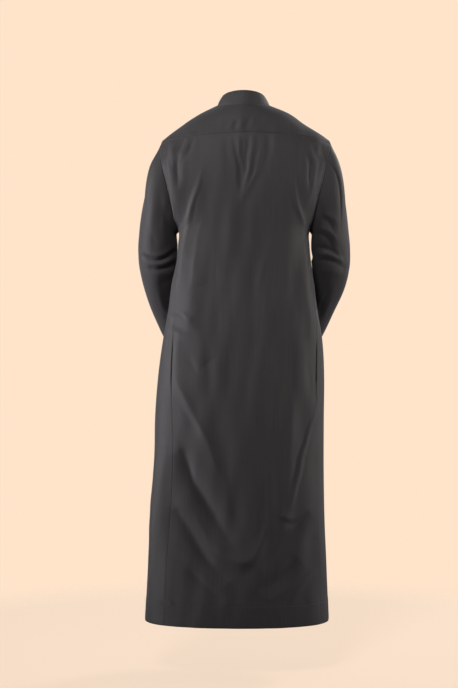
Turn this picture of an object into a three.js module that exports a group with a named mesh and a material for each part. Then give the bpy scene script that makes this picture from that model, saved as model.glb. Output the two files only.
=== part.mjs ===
// Thobe: an ankle-length robe with a stand collar, a back yoke, set-in sleeves, a buttoned
// placket and in-seam pockets, as it hangs on a standing figure with both arms brought
// forward. Every piece of cloth is a thin wall on one common form.
//
// Frame: millimetres, +Z up, the front faces -Y and the wearer's left is +X. The origin is
// the middle of the neck opening, at the height where the shoulders meet the collar. A
// level is a height in this frame before the neckline's own dip is added. An angle runs
// round the body from the centre back (0), positive towards the left, to the centre front.

import * as THREE from 'three';

// Cloth walls and seams.
const WALL = 2;
const HEM_WALL = 3;
const COLLAR_WALL = 2.4;
const SEAM_GAP = 0.36;
const MITRE_REACH = 3.4;
const LEAST_MITRE = 0.1;

// Levels of the body.
const HEM_LEVEL = -1430;
const HEM_DEPTH = 65;
const UNDERARM_LEVEL = -345;
const YOKE_LEVEL = -74;
const YOKE_SEAM_POWER = 2.2;
const NECK_LEVEL = 0;

// Armhole: an upright loop, seen from the side.
const ARMHOLE_LEVEL = -220.5;
const ARMHOLE_RISE = 124.5;
const ARMHOLE_BACK = 68;
const ARMHOLE_FRONT = 60;
const YOKE_BACK_END = THREE.MathUtils.degToRad(20.6);
const YOKE_FRONT_END = THREE.MathUtils.degToRad(25);
const YOKE_NECK_END = THREE.MathUtils.degToRad(118);

// Placket over the chest slit, and its buttons.
const PLACKET_HALF = 17;
const SLIT_HALF = 1;
const PLACKET_DROP = 2.2;
const PLACKET_BUTTON_LEVELS = [-72, -138, -204, -270];
const BUTTON_RADIUS = 5.6;
const BUTTON_DEPTH = 2.4;
const BUTTON_EDGE_DEPTH = 1.44;
const BUTTON_RIM_RADIUS = 4.8;
const BUTTON_WELL_RADIUS = 3.7;
const BUTTON_WELL_DEPTH = 1.8;
const BUTTON_SIDES = 14;
const COLLAR_BUTTON_SHARE = 0.5;

// Number of cells in each piece's grid.
const BACK_COLUMNS = 10;
const FRONT_COLUMNS = 12;
const PLACKET_COLUMNS = 3;
const YOKE_SEAM_COLUMNS = 5;
const LOWER_ROWS = 18;
const ARMHOLE_ROWS = 9;
const YOKE_ROWS = 4;
const YOKE_END_COLUMNS = 4;
const CAP_ROWS = 5;
const ARM_ROWS = 9;
const COLLAR_ROWS = 2;
const SLIT_FIRST_ROW = LOWER_ROWS + 2;

// The body's sections: half widths to the left and right, reach of the back and front, how
// far the widest line lies behind the middle, squareness of the section, and the share of
// the neckline's dip. Between the underarm and the shoulder the width runs on into the
// sleeves, and the panels stop at the armholes.
const BODY = [
  { level: -1430, left: 275, right: 239, back: 150, front: 156, behind: 6, squareBack: 2.25, squareFront: 2.25, neck: 0 },
  { level: -1265, left: 265, right: 232, back: 141, front: 148, behind: 8, squareBack: 2.25, squareFront: 2.25, neck: 0 },
  { level: -1154, left: 260, right: 227, back: 134, front: 142, behind: 10, squareBack: 2.2, squareFront: 2.25, neck: 0 },
  { level: -1000, left: 248, right: 224, back: 129, front: 137, behind: 12, squareBack: 2.2, squareFront: 2.2, neck: 0 },
  { level: -864, left: 246, right: 224, back: 127, front: 134, behind: 14, squareBack: 2.2, squareFront: 2.15, neck: 0 },
  { level: -740, left: 237, right: 225, back: 125, front: 131, behind: 18, squareBack: 2.2, squareFront: 2.05, neck: 0 },
  { level: -640, left: 225, right: 221, back: 121, front: 128, behind: 26, squareBack: 2.25, squareFront: 1.9, neck: 0 },
  { level: -560, left: 212, right: 208, back: 117, front: 126, behind: 30, squareBack: 2.35, squareFront: 1.85, neck: 0 },
  { level: -490, left: 202, right: 199, back: 113, front: 124, behind: 26, squareBack: 2.5, squareFront: 1.95, neck: 0 },
  { level: -430, left: 187, right: 189, back: 112, front: 122, behind: 14, squareBack: 2.7, squareFront: 2.15, neck: 0 },
  { level: -385, left: 180, right: 184, back: 113, front: 120, behind: 4, squareBack: 2.8, squareFront: 2.4, neck: 0 },
  { level: -345, left: 178, right: 183, back: 114, front: 119, behind: 0, squareBack: 2.8, squareFront: 2.5, neck: 0 },
  { level: -300, left: 200, right: 205, back: 117, front: 118, behind: 0, squareBack: 2.45, squareFront: 2.3, neck: 0 },
  { level: -261, left: 229, right: 233, back: 119, front: 117, behind: 0, squareBack: 2.2, squareFront: 2.1, neck: 0 },
  { level: -200, left: 257, right: 261, back: 120, front: 115, behind: 0, squareBack: 2.05, squareFront: 2.0, neck: 0 },
  { level: -144, left: 257, right: 261, back: 116, front: 111, behind: 0, squareBack: 2.0, squareFront: 2.0, neck: 0 },
  { level: -96, left: 225, right: 239, back: 108, front: 104, behind: 0, squareBack: 2.0, squareFront: 2.0, neck: 0 },
  { level: -48, left: 161, right: 165, back: 92, front: 90, behind: 0, squareBack: 2.0, squareFront: 2.0, neck: 0.45 },
  { level: -22, left: 118, right: 126, back: 81, front: 83, behind: 0, squareBack: 2.0, squareFront: 2.0, neck: 0.75 },
  { level: 0, left: 71, right: 71, back: 68, front: 72, behind: 0, squareBack: 2.0, squareFront: 2.0, neck: 1 },
];

// The side seams lie behind the sides: their angle from the centre back, in degrees.
const SIDE_SEAM = [
  { level: -1430, left: 50, right: 62 },
  { level: -905, left: 50, right: 62 },
  { level: -749, left: 55, right: 62 },
  { level: -582, left: 59, right: 66 },
  { level: -434, left: 68, right: 76 },
  { level: -385, left: 79, right: 84 },
  { level: -345, left: 90, right: 90 },
];

// The largest folds of the body, each an arc from one place to another. A bow moves the
// middle of the arc down its level, and a fold with a minus depth is a hollow.
const FOLDS = [
  { face: 'back', x0: 116, level0: -165, x1: 172, level1: -560, bow: 0, spread: 16, depth: 5 },
  { face: 'back', x0: -133, level0: -185, x1: -176, level1: -420, bow: 0, spread: 16, depth: 5 },
  { face: 'back', x0: 186, level0: -757, x1: 50, level1: -1000, bow: 0, spread: 26, depth: 7 },
  { face: 'back', x0: 178, level0: -900, x1: 52, level1: -1235, bow: -10, spread: 26, depth: -11 },
  { face: 'back', x0: 170, level0: -1120, x1: 45, level1: -1325, bow: -12, spread: 24, depth: -8 },
  { face: 'back', x0: 78, level0: -1235, x1: -40, level1: -1235, bow: -45, spread: 24, depth: 8 },
  { face: 'back', x0: -30, level0: -1368, x1: -170, level1: -1250, bow: -14, spread: 27, depth: -9 },
  { face: 'back', x0: -205, level0: -819, x1: -112, level1: -1150, bow: 0, spread: 26, depth: 7 },
  { face: 'front', x0: 150, level0: -620, x1: 40, level1: -1010, bow: 0, spread: 30, depth: -8 },
  { face: 'front', x0: -150, level0: -640, x1: -55, level1: -960, bow: 0, spread: 30, depth: -7 },
  { face: 'front', x0: 175, level0: -960, x1: 95, level1: -1380, bow: 0, spread: 28, depth: 8 },
  { face: 'front', x0: -150, level0: -930, x1: -120, level1: -1390, bow: 0, spread: 28, depth: 9 },
];

// A fold is this share of its depth at its ends, and fades out where the body turns aside.
const FOLD_END_SHARE = 0.25;
const FOLD_SIDE_FADE = 3;
const FOLD_STEPS = 10;

// The forearms press the front of the body in: a soft dent on each side.
const DENT = { angle: 126, level: -560, spreadAngle: 24, spreadLevel: 90, depth: 16 };

// The arm of each sleeve, from the biceps to the wrist: its middle, and its half widths
// across and from back to front. The left arm is given, with the right arm's own reach.
const ARM = [
  { place: 0, left: 238, right: 242, y: -10, level: -352, across: 52, deep: 63 },
  { place: 1, left: 240, right: 245, y: -20, level: -392, across: 53, deep: 61 },
  { place: 2, left: 238, right: 245, y: -36, level: -440, across: 52.5, deep: 59 },
  { place: 3, left: 230, right: 235, y: -66, level: -498, across: 49, deep: 56 },
  { place: 4, left: 210, right: 210, y: -106, level: -560, across: 48, deep: 53 },
  { place: 5, left: 190, right: 189, y: -142, level: -612, across: 47, deep: 51 },
  { place: 6, left: 167, right: 167, y: -174, level: -660, across: 46, deep: 49 },
];

// The sleeve leaves the armhole in these directions, at its top, back, bottom and front.
const CAP_TOP = new THREE.Vector3(0.4, 0, -0.92);
const CAP_BOTTOM = new THREE.Vector3(0.62, 0, -0.78);
const CAP_SIDE = new THREE.Vector3(0.55, 0, -0.83);
const CAP_BULGE = 0.18;
const CAP_PULL = 0.85;
const CAP_AHEAD = 0.2;

// Stand collar: its top edge, narrower than the neckline and lower at the front.
const COLLAR_TOP_HALF = 61;
const COLLAR_TOP_BACK = 57;
const COLLAR_TOP_FRONT = 66;
const COLLAR_SIDE_LEVEL = 19;
const COLLAR_BACK_RISE = 24;
const COLLAR_BACK_ROUND = 0.8;
const COLLAR_FRONT_DROP = 30;
const COLLAR_BULGE = 1.5;
const COLLAR_BLEND = THREE.MathUtils.degToRad(26);

// The neckline is level round the back and dips to the middle of the front.
const NECK_RISE = 4;
const NECK_DROP = 44;

// Pocket bags, two plies pressed flat inside the front: grid cells below and beside the seam.
const POCKET_WALL = 1.6;
const POCKET_FIRST_ROW = 8;
const POCKET_LAST_ROW = 13;
const POCKET_COLUMNS = 4;

const CLOTH = { color: 0x353336, roughness: 0.72, metalness: 0 };
const BUTTON = { color: 0x161617, roughness: 0.35, metalness: 0 };

const NEARLY_ZERO = 1e-6;
const lerp = THREE.MathUtils.lerp;
const clamp = THREE.MathUtils.clamp;
const degrees = THREE.MathUtils.degToRad;

// A smooth value of one column of a table, at a place along its first column.
function smooth(table, along, key, place) {
  const last = table.length - 1;
  const row = (k) => table[clamp(k, 0, last)];
  let i = 0;
  while (i < last - 1 && place > table[i + 1][along]) i += 1;
  const span = row(i + 1)[along] - row(i)[along];
  const slope = (k) => (row(k + 1)[key] - row(k - 1)[key]) / (row(k + 1)[along] - row(k - 1)[along]);
  const t = clamp((place - row(i)[along]) / span, 0, 1);
  const ease = t * t * (3 - 2 * t);
  const leave = t * (1 - t) * (1 - t) * span * slope(i);
  const arrive = t * t * (t - 1) * span * slope(i + 1);
  return lerp(row(i)[key], row(i + 1)[key], ease) + leave + arrive;
}

const bell = (distance, spread) => Math.exp(-0.5 * (distance / spread) ** 2);

// How far one fold lifts the cloth at a place on its face of the body.
function foldLift(fold, x, level) {
  let nearest = Infinity;
  let along = 0;
  for (let k = 0; k <= FOLD_STEPS; k += 1) {
    const t = k / FOLD_STEPS;
    const px = lerp(fold.x0, fold.x1, t);
    const pl = lerp(fold.level0, fold.level1, t) + 4 * t * (1 - t) * fold.bow;
    const distance = Math.hypot(x - px, level - pl);
    if (distance < nearest) {
      nearest = distance;
      along = t;
    }
  }
  const taper = lerp(FOLD_END_SHARE, 1, Math.sin(Math.PI * along));
  return fold.depth * taper * bell(nearest, fold.spread);
}

// A point of the body's outer surface.
function bodyPoint(angle, level) {
  const at = (key) => smooth(BODY, 'level', key, level);
  const sin = Math.sin(angle);
  const cos = Math.cos(angle);
  const power = 2 / at(cos >= 0 ? 'squareBack' : 'squareFront');
  const behind = at('behind');
  const width = sin >= 0 ? at('left') : at('right');
  const reach = cos >= 0 ? at('back') - behind : at('front') + behind;
  const x = width * Math.sign(sin) * Math.abs(sin) ** power;
  const y = reach * Math.sign(cos) * Math.abs(cos) ** power;
  const out = new THREE.Vector2(x / width ** 2, y / reach ** 2).normalize();
  const facing = Math.min(1, FOLD_SIDE_FADE * Math.abs(cos));
  let lift = 0;
  for (const fold of FOLDS) {
    if ((fold.face === 'back') === cos >= 0) lift += foldLift(fold, x, level) * facing;
  }
  const aside = (Math.acos(cos) - degrees(DENT.angle)) / degrees(DENT.spreadAngle);
  lift -= DENT.depth * bell(aside, 1) * bell(level - DENT.level, DENT.spreadLevel);
  const rise = NECK_RISE - NECK_DROP * Math.min(cos, 0) ** 2;
  return new THREE.Vector3(x + out.x * lift, y + behind + out.y * lift, level + at('neck') * rise);
}

// The body's outward normal at a place.
function bodyNormal(angle, level) {
  const step = 0.01;
  const rise = 2;
  const round = bodyPoint(angle + step, level).sub(bodyPoint(angle - step, level));
  const low = Math.max(HEM_LEVEL, level - rise);
  const high = Math.min(NECK_LEVEL, level + rise);
  const up = bodyPoint(angle, high).sub(bodyPoint(angle, low));
  return up.cross(round).normalize();
}

// The angle at which the body's section reaches a given y or x.
function angleAtDepth(y, level) {
  const reach = smooth(BODY, 'level', y >= 0 ? 'back' : 'front', level);
  const square = smooth(BODY, 'level', y >= 0 ? 'squareBack' : 'squareFront', level);
  const share = Math.abs(y / reach) ** (square / 2);
  return Math.acos(Math.sign(y) * share);
}

function frontAngleAtWidth(x, level) {
  const width = smooth(BODY, 'level', 'left', level);
  return Math.PI - Math.asin((x / width) ** (smooth(BODY, 'level', 'squareFront', level) / 2));
}

const sideKey = (side) => (side > 0 ? 'left' : 'right');
const seamAngle = (side, level) => degrees(smooth(SIDE_SEAM, 'level', sideKey(side), level));

// Places on the armhole, by the turn from its top, positive to the back. A place is an
// angle without its side's sign, and a level.
function armholePlace(turn) {
  const depth = Math.sin(turn) * (turn >= 0 ? ARMHOLE_BACK : ARMHOLE_FRONT);
  const y = Math.abs(depth) < NEARLY_ZERO ? 0 : depth;
  const level = ARMHOLE_LEVEL + ARMHOLE_RISE * Math.cos(turn);
  return { angle: angleAtDepth(y, level), level };
}

const steps = (count) => Array.from({ length: count + 1 }, (_, k) => k / count);
const backTurns = steps(ARMHOLE_ROWS).map((t) => lerp(Math.PI, YOKE_BACK_END, t));
const yokeTurns = steps(YOKE_END_COLUMNS).map((t) => lerp(YOKE_BACK_END, -YOKE_FRONT_END, t));
const frontTurns = steps(ARMHOLE_ROWS).map((t) => -lerp(Math.PI, YOKE_FRONT_END, t));

const place = (angle, level) => ({ angle, level });
const between = (a, b, t) => place(lerp(a.angle, b.angle, t), lerp(a.level, b.level, t));

// A patch of places inside four edges, by Coons's rule.
function patch(bottom, top, inner, outer, s, t) {
  const mix = (key) =>
    lerp(bottom(s)[key], top(s)[key], t) +
    lerp(inner[key], outer[key], s) -
    lerp(lerp(bottom(0)[key], bottom(1)[key], s), lerp(top(0)[key], top(1)[key], s), t);
  return place(mix('angle'), mix('level'));
}

// The levels of the rows below the underarm, from the hem up. The last step is halved, where
// the side seams curve in to the armholes.
const lowerLevels = [
  HEM_LEVEL,
  ...steps(LOWER_ROWS - 2).map((t) => lerp(HEM_LEVEL + HEM_DEPTH, UNDERARM_LEVEL, t)),
];
lowerLevels.splice(-1, 0, lerp(lowerLevels.at(-2), UNDERARM_LEVEL, 0.5));

// Back seam of the yoke, from the centre back to the armhole.
const yokeEnd = armholePlace(YOKE_BACK_END);
const yokeSeam = (s) => place(yokeEnd.angle * s, lerp(YOKE_LEVEL, yokeEnd.level, s ** YOKE_SEAM_POWER));

// Rows of places of one half of the back, from the centre out.
function backHalf(side) {
  const columns = steps(BACK_COLUMNS);
  const rows = lowerLevels.map((level) => columns.map((s) => place(seamAngle(side, level) * s, level)));
  const bottom = (s) => place((Math.PI / 2) * s, UNDERARM_LEVEL);
  for (const turn of backTurns.slice(1)) {
    const outer = armholePlace(turn);
    const t = (outer.level - UNDERARM_LEVEL) / (yokeEnd.level - UNDERARM_LEVEL);
    const inner = place(0, lerp(UNDERARM_LEVEL, YOKE_LEVEL, t));
    rows.push(columns.map((s) => patch(bottom, yokeSeam, inner, outer, s, t)));
  }
  return rows;
}

// Top edge of one half of the front: the neckline out to the yoke, then the yoke's seam.
const yokeFrontEnd = armholePlace(-YOKE_FRONT_END);
const yokeNeckEnd = place(YOKE_NECK_END, NECK_LEVEL);

function frontTop(s) {
  const neckShare = 1 - YOKE_SEAM_COLUMNS / FRONT_COLUMNS;
  const middle = place(frontAngleAtWidth(PLACKET_HALF, NECK_LEVEL), NECK_LEVEL);
  if (s <= neckShare) return between(middle, yokeNeckEnd, s / neckShare);
  return between(yokeNeckEnd, yokeFrontEnd, (s - neckShare) / (1 - neckShare));
}

// Rows of places of one half of the front, from the placket's edge out.
function frontHalf(side) {
  const columns = steps(FRONT_COLUMNS);
  const rows = lowerLevels.map((level) => {
    const inner = place(frontAngleAtWidth(PLACKET_HALF, level), level);
    return columns.map((s) => between(inner, place(seamAngle(side, level), level), s));
  });
  const last = rows[rows.length - 1];
  const bottom = (s) => between(last[0], last[FRONT_COLUMNS], s);
  for (const turn of frontTurns.slice(1)) {
    const outer = armholePlace(turn);
    const t = (outer.level - UNDERARM_LEVEL) / (yokeFrontEnd.level - UNDERARM_LEVEL);
    const level = lerp(UNDERARM_LEVEL, NECK_LEVEL, t);
    const inner = place(frontAngleAtWidth(PLACKET_HALF, level), level);
    rows.push(columns.map((s) => patch(bottom, frontTop, inner, outer, s, t)));
  }
  return rows;
}

// Rows of places of one half of the yoke, from its outer edge to the neckline.
const yokeNeckAngles = steps(BACK_COLUMNS + YOKE_END_COLUMNS).map((t) => YOKE_NECK_END * t);

function yokeHalf() {
  const outer = steps(BACK_COLUMNS).map(yokeSeam).concat(yokeTurns.slice(1).map(armholePlace));
  const neck = yokeNeckAngles.map((angle) => place(angle, NECK_LEVEL));
  return steps(YOKE_ROWS).map((t) => outer.map((p, k) => between(p, neck[k], t)));
}

// Full rows from two halves that run from the middle out. Pieces of the back meet at the
// angle 0, and the front runs from the left, past the slit, to the right.
function backRows(left, right) {
  return left.map((row, r) => {
    const turned = right[r].slice(1).reverse().map((p) => place(-p.angle, p.level));
    return [...turned, ...row];
  });
}

function frontRows(left, right) {
  return left.map((row, r) => {
    const slit = place(frontAngleAtWidth(SLIT_HALF, row[0].level), row[0].level);
    const turned = [slit, ...right[r]].map((p) => place(2 * Math.PI - p.angle, p.level));
    return [...row.slice().reverse(), slit, ...turned];
  });
}

// Outer and inner points of a piece of the body, with the outward normals.
function clothPoints(rows, wall) {
  const outer = rows.map((row) => row.map((p) => bodyPoint(p.angle, p.level)));
  const normals = rows.map((row) => row.map((p) => bodyNormal(p.angle, p.level)));
  const inner = rows.map((row, r) =>
    row.map((p, c) => outer[r][c].clone().addScaledVector(normals[r][c], -wall(p.level))),
  );
  return { outer, inner, normals };
}

// A grid moved out by a distance, for what lies on a piece of cloth, or in by a minus one.
const movedOut = (points, normals, distance) =>
  points.map((row, r) => row.map((p, c) => p.clone().addScaledVector(normals[r][c], distance)));

// Draws one point of an edge back from its seam, towards its neighbour in the grid.
function trim({ outer, inner }, row, column, stepRow, stepColumn) {
  const edge = outer[row][column];
  const move = outer[row + stepRow][column + stepColumn].clone().sub(edge).setLength(SEAM_GAP / 2);
  edge.add(move);
  inner[row][column].add(move);
}

function trimSides(points) {
  const last = points.outer[0].length - 1;
  points.outer.forEach((_, r) => {
    trim(points, r, 0, 0, 1);
    trim(points, r, last, 0, -1);
  });
}

const trimTop = (points) => {
  const last = points.outer.length - 1;
  points.outer[last].forEach((_, c) => trim(points, last, c, -1, 0));
};

const trimBottom = (points) => points.outer[0].forEach((_, c) => trim(points, 0, c, 1, 0));

// A closed wall between an outer and an inner grid, without the skipped cells. A round
// wall joins its last column to its first. Each cell folds along its shorter diagonal, or
// that of the cloth whose shape it lies on.
function wallGeometry(outer, inner, { round = false, skip = () => false, shape = outer } = {}) {
  const rows = outer.length;
  const columns = outer[0].length;
  const cells = round ? columns : columns - 1;
  const count = rows * columns;
  const index = (r, c) => r * columns + (c % columns);
  const kept = (r, c) => {
    const cell = round ? (c + cells) % cells : c;
    return r >= 0 && r < rows - 1 && cell >= 0 && cell < cells && !skip(r, cell);
  };
  const triangles = [];
  const quad = (a, b, c, d) => triangles.push(a, b, c, a, c, d);
  const points = [...outer.flat(), ...inner.flat()];
  const across = (r0, c0, r1, c1) => shape[r0][c0 % columns].distanceTo(shape[r1][c1 % columns]);
  for (let r = 0; r < rows - 1; r += 1) {
    for (let c = 0; c < cells; c += 1) {
      if (!kept(r, c)) continue;
      const [a, b, d, e] = [index(r, c), index(r, c + 1), index(r + 1, c + 1), index(r + 1, c)];
      const turned = across(r, c + 1, r + 1, c) < across(r, c, r + 1, c + 1);
      const [p, q, s, u] = turned ? [b, d, e, a] : [a, b, d, e];
      quad(p, q, s, u);
      quad(p + count, u + count, s + count, q + count);
      if (!kept(r - 1, c)) quad(a, a + count, b + count, b);
      if (!kept(r + 1, c)) quad(e, d, d + count, e + count);
      if (!kept(r, c - 1)) quad(a, e, e + count, a + count);
      if (!kept(r, c + 1)) quad(b, b + count, d + count, d);
    }
  }
  let volume = 0;
  for (let k = 0; k < triangles.length; k += 3) {
    const [p, q, s] = triangles.slice(k, k + 3).map((n) => points[n]);
    volume += p.clone().cross(q).dot(s);
  }
  if (volume < 0) triangles.reverse();
  return usedOnly(points, triangles);
}

// A geometry of the points that its triangles use.
function usedOnly(points, triangles) {
  const used = [...new Set(triangles)];
  const renumbered = new Map(used.map((old, k) => [old, k]));
  const geometry = new THREE.BufferGeometry().setFromPoints(used.map((k) => points[k]));
  geometry.setIndex(triangles.map((k) => renumbered.get(k)));
  geometry.computeVertexNormals();
  return geometry;
}

function named(name, geometry, finish) {
  const mesh = new THREE.Mesh(geometry, new THREE.MeshStandardMaterial(finish));
  mesh.name = name;
  return mesh;
}

// The turns round an armhole: up the back, over the yoke's end and down the front.
const roundTurns = [...backTurns, ...yokeTurns.slice(1), ...frontTurns.slice(1, -1).reverse()];
const frontIndex = (k) => (roundTurns.length - k) % roundTurns.length;

// The seam round an armhole: each point, the way in which the sleeve leaves it, and the
// mitre that body and sleeve share.
function armholeSeam(side) {
  const places = roundTurns.map(armholePlace);
  const points = places.map((p) => bodyPoint(side * p.angle, p.level));
  const middle = points.reduce((sum, p) => sum.add(p), new THREE.Vector3()).divideScalar(points.length);
  return points.map((point, k) => {
    const turn = roundTurns[k];
    const up = Math.cos(turn);
    const along = points[(k + 1) % points.length].clone().sub(points.at(k - 1)).normalize();
    const leave = CAP_SIDE.clone().lerp(up > 0 ? CAP_TOP : CAP_BOTTOM, Math.abs(up));
    leave.y += CAP_BULGE * Math.sin(turn);
    leave.x *= side;
    leave.addScaledVector(along, -leave.dot(along)).normalize();
    const sleeveOut = along.clone().cross(leave).normalize();
    if (sleeveOut.dot(point.clone().sub(middle)) < 0) sleeveOut.negate();
    const inward = bodyNormal(side * places[k].angle, places[k].level).add(sleeveOut).negate();
    const depth = Math.min(MITRE_REACH, (2 * WALL) / Math.max(inward.length(), LEAST_MITRE));
    inward.setLength(depth);
    const across = along.clone().cross(inward).normalize();
    if (across.dot(leave) < 0) across.negate();
    return { turn, point, leave, inward, across };
  });
}

const armholes = { left: armholeSeam(1), right: armholeSeam(-1) };

// Sets the points of a body piece that lie on an armhole to their side of the mitre. Each
// seat is a row, a column and a place in the seam, and the first and last are corners.
function seatAtArmhole({ outer, inner }, seam, seats) {
  for (const [row, column, k] of seats) {
    outer[row][column].copy(seam[k].point).addScaledVector(seam[k].across, -SEAM_GAP / 2);
    inner[row][column].copy(outer[row][column]).add(seam[k].inward);
  }
  const corner = ([row, column], [nextRow, nextColumn]) => {
    const move = outer[nextRow][nextColumn].clone().sub(outer[row][column]).setLength(SEAM_GAP / 2);
    outer[row][column].add(move);
    inner[row][column].add(move);
  };
  corner(seats[0], seats[1]);
  corner(seats.at(-1), seats.at(-2));
}

const bodyWall = (level) => (level <= HEM_LEVEL + HEM_DEPTH ? HEM_WALL : WALL);

// Back, one piece from the yoke's seam to the hem.
function makeBack() {
  const points = clothPoints(backRows(backHalf(1), backHalf(-1)), bodyWall);
  const last = points.outer[0].length - 1;
  trimSides(points);
  trimTop(points);
  seatAtArmhole(points, armholes.left, backTurns.map((_, k) => [LOWER_ROWS + k, last, k]));
  seatAtArmhole(points, armholes.right, backTurns.map((_, k) => [LOWER_ROWS + k, 0, k]));
  return named('back_panel', wallGeometry(points.outer, points.inner), CLOTH);
}

// Yoke, one piece from the back over both shoulders.
function makeYoke() {
  const points = clothPoints(backRows(yokeHalf(), yokeHalf()), bodyWall);
  const middle = BACK_COLUMNS + YOKE_END_COLUMNS;
  trimSides(points);
  trimTop(points);
  trimBottom(points);
  const seats = (side) => yokeTurns.map((_, k) => [0, middle + side * (BACK_COLUMNS + k), ARMHOLE_ROWS + k]);
  seatAtArmhole(points, armholes.left, seats(1));
  seatAtArmhole(points, armholes.right, seats(-1));
  return named('back_yoke', wallGeometry(points.outer, points.inner), CLOTH);
}

// Front, one piece from the neckline and the yoke to the hem, slit down the chest. The
// placket, its buttons and the pocket bags are set out on its points.
const front = clothPoints(frontRows(frontHalf(1), frontHalf(-1)), bodyWall);

function makeFront() {
  const last = front.outer[0].length - 1;
  trimSides(front);
  trimTop(front);
  seatAtArmhole(front, armholes.left, frontTurns.map((_, k) => [LOWER_ROWS + k, 0, frontIndex(k)]));
  seatAtArmhole(front, armholes.right, frontTurns.map((_, k) => [LOWER_ROWS + k, last, frontIndex(k)]));
  const slit = (row, column) => column === FRONT_COLUMNS + 1 && row >= SLIT_FIRST_ROW;
  return named('front_panel', wallGeometry(front.outer, front.inner, { skip: slit }), CLOTH);
}

// A block of the front's points: rows from one to another, and columns likewise.
function frontBlock(row0, row1, column0, column1) {
  const block = (grid) => grid.slice(row0, row1 + 1).map((row) => row.slice(column0, column1 + 1));
  return { points: block(front.outer), normals: block(front.normals) };
}

// Placket, a strip over the slit from the neckline down.
const placketBlock = () =>
  frontBlock(LOWER_ROWS, LOWER_ROWS + ARMHOLE_ROWS, FRONT_COLUMNS, FRONT_COLUMNS + PLACKET_COLUMNS);

function makePlacket() {
  const { points, normals } = placketBlock();
  const [below, top] = points.slice(-2);
  const lowered = (p, c) => p.clone().lerp(below[c], PLACKET_DROP / p.distanceTo(below[c]));
  points[points.length - 1] = top.map(lowered);
  const outer = movedOut(points, normals, SEAM_GAP + WALL);
  return named('placket', wallGeometry(outer, movedOut(points, normals, SEAM_GAP), { shape: points }), CLOTH);
}

// A flat button with a raised rim, seated on a point and facing along a normal.
function makeButton(name, seat, normal) {
  const profile = [
    [0, 0],
    [BUTTON_RADIUS, 0],
    [BUTTON_RADIUS, BUTTON_EDGE_DEPTH],
    [BUTTON_RIM_RADIUS, BUTTON_DEPTH],
    [BUTTON_WELL_RADIUS, BUTTON_WELL_DEPTH],
    [0, BUTTON_WELL_DEPTH],
  ].map(([radius, height]) => new THREE.Vector2(radius, height));
  const button = named(name, new THREE.LatheGeometry(profile, BUTTON_SIDES), BUTTON);
  button.quaternion.setFromUnitVectors(new THREE.Vector3(0, 1, 0), normal);
  button.position.copy(seat).addScaledVector(normal, SEAM_GAP);
  return button;
}

function makePlacketButtons() {
  return PLACKET_BUTTON_LEVELS.map((level, k) => {
    const normal = bodyNormal(Math.PI, level);
    const seat = bodyPoint(Math.PI, level).addScaledVector(normal, SEAM_GAP + WALL);
    return makeButton(`button_placket_${k + 1}`, seat, normal);
  });
}

// Pocket bag, two plies pressed flat against the inside of the front, beside the side seam.
function makePocket(side) {
  const last = front.outer[0].length - 1;
  const columns = side > 0 ? [0, POCKET_COLUMNS] : [last - POCKET_COLUMNS, last];
  const { points, normals } = frontBlock(POCKET_FIRST_ROW, POCKET_LAST_ROW, ...columns);
  const outer = movedOut(points, normals, -WALL - SEAM_GAP);
  const inner = movedOut(points, normals, -WALL - SEAM_GAP - POCKET_WALL);
  const farCell = side > 0 ? POCKET_COLUMNS - 1 : 0;
  const corner = (row, column) => row === 0 && column === farCell;
  return named(`pocket_${sideKey(side)}`, wallGeometry(outer, inner, { skip: corner, shape: points }), CLOTH);
}

// One ring of a sleeve across the arm, at a place along it.
function armRing(side, at) {
  const middle = (t) => {
    const value = (key) => smooth(ARM, 'place', key, t);
    return new THREE.Vector3(side * value(sideKey(side)), value('y'), value('level'));
  };
  const step = 0.05;
  const last = ARM.length - 1;
  const axis = middle(Math.min(at + step, last)).sub(middle(Math.max(at - step, 0))).normalize();
  const back = new THREE.Vector3(0, 1, 0).addScaledVector(axis, -axis.y).normalize();
  const out = axis.clone().cross(back).multiplyScalar(side);
  const across = smooth(ARM, 'place', 'across', at);
  const deep = smooth(ARM, 'place', 'deep', at);
  return roundTurns.map((turn) =>
    middle(at).addScaledVector(out, across * Math.cos(turn)).addScaledVector(back, deep * Math.sin(turn)),
  );
}

// Sleeve, set into its armhole. Its cap swings from the armhole down to the arm.
function makeSleeve(side) {
  const seam = armholes[sideKey(side)];
  const biceps = armRing(side, 0);
  const ahead = armRing(side, CAP_AHEAD).map((p, k) => p.sub(biceps[k]).normalize());
  const cap = steps(CAP_ROWS).map((t) => seam.map((s, k) => {
    const start = s.point.clone().addScaledVector(s.across, SEAM_GAP / 2);
    const pull = CAP_PULL * start.distanceTo(biceps[k]);
    const ease = t * t * (3 - 2 * t);
    return start.lerp(biceps[k], ease)
      .addScaledVector(s.leave, pull * t * (1 - t) * (1 - t))
      .addScaledVector(ahead[k], pull * t * t * (t - 1));
  }));
  const arm = steps(ARM_ROWS).slice(1).map((t) => armRing(side, t * (ARM.length - 1)));
  const outer = [...cap, ...arm];
  const inner = outer.map((row, r) => row.map((p, k) => {
    if (r === 0) return p.clone().add(seam[k].inward);
    const round = row[(k + 1) % row.length].clone().sub(row.at(k - 1));
    const down = outer[Math.min(r + 1, outer.length - 1)][k].clone().sub(outer[r - 1][k]);
    return p.clone().addScaledVector(round.cross(down).normalize(), side * WALL);
  }));
  return named(`sleeve_${sideKey(side)}`, wallGeometry(outer, inner, { round: true }), CLOTH);
}

// Stand collar, one band round the neck whose left end laps over its right end in front.
const collarLap = Math.PI - frontAngleAtWidth(PLACKET_HALF, NECK_LEVEL);

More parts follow.
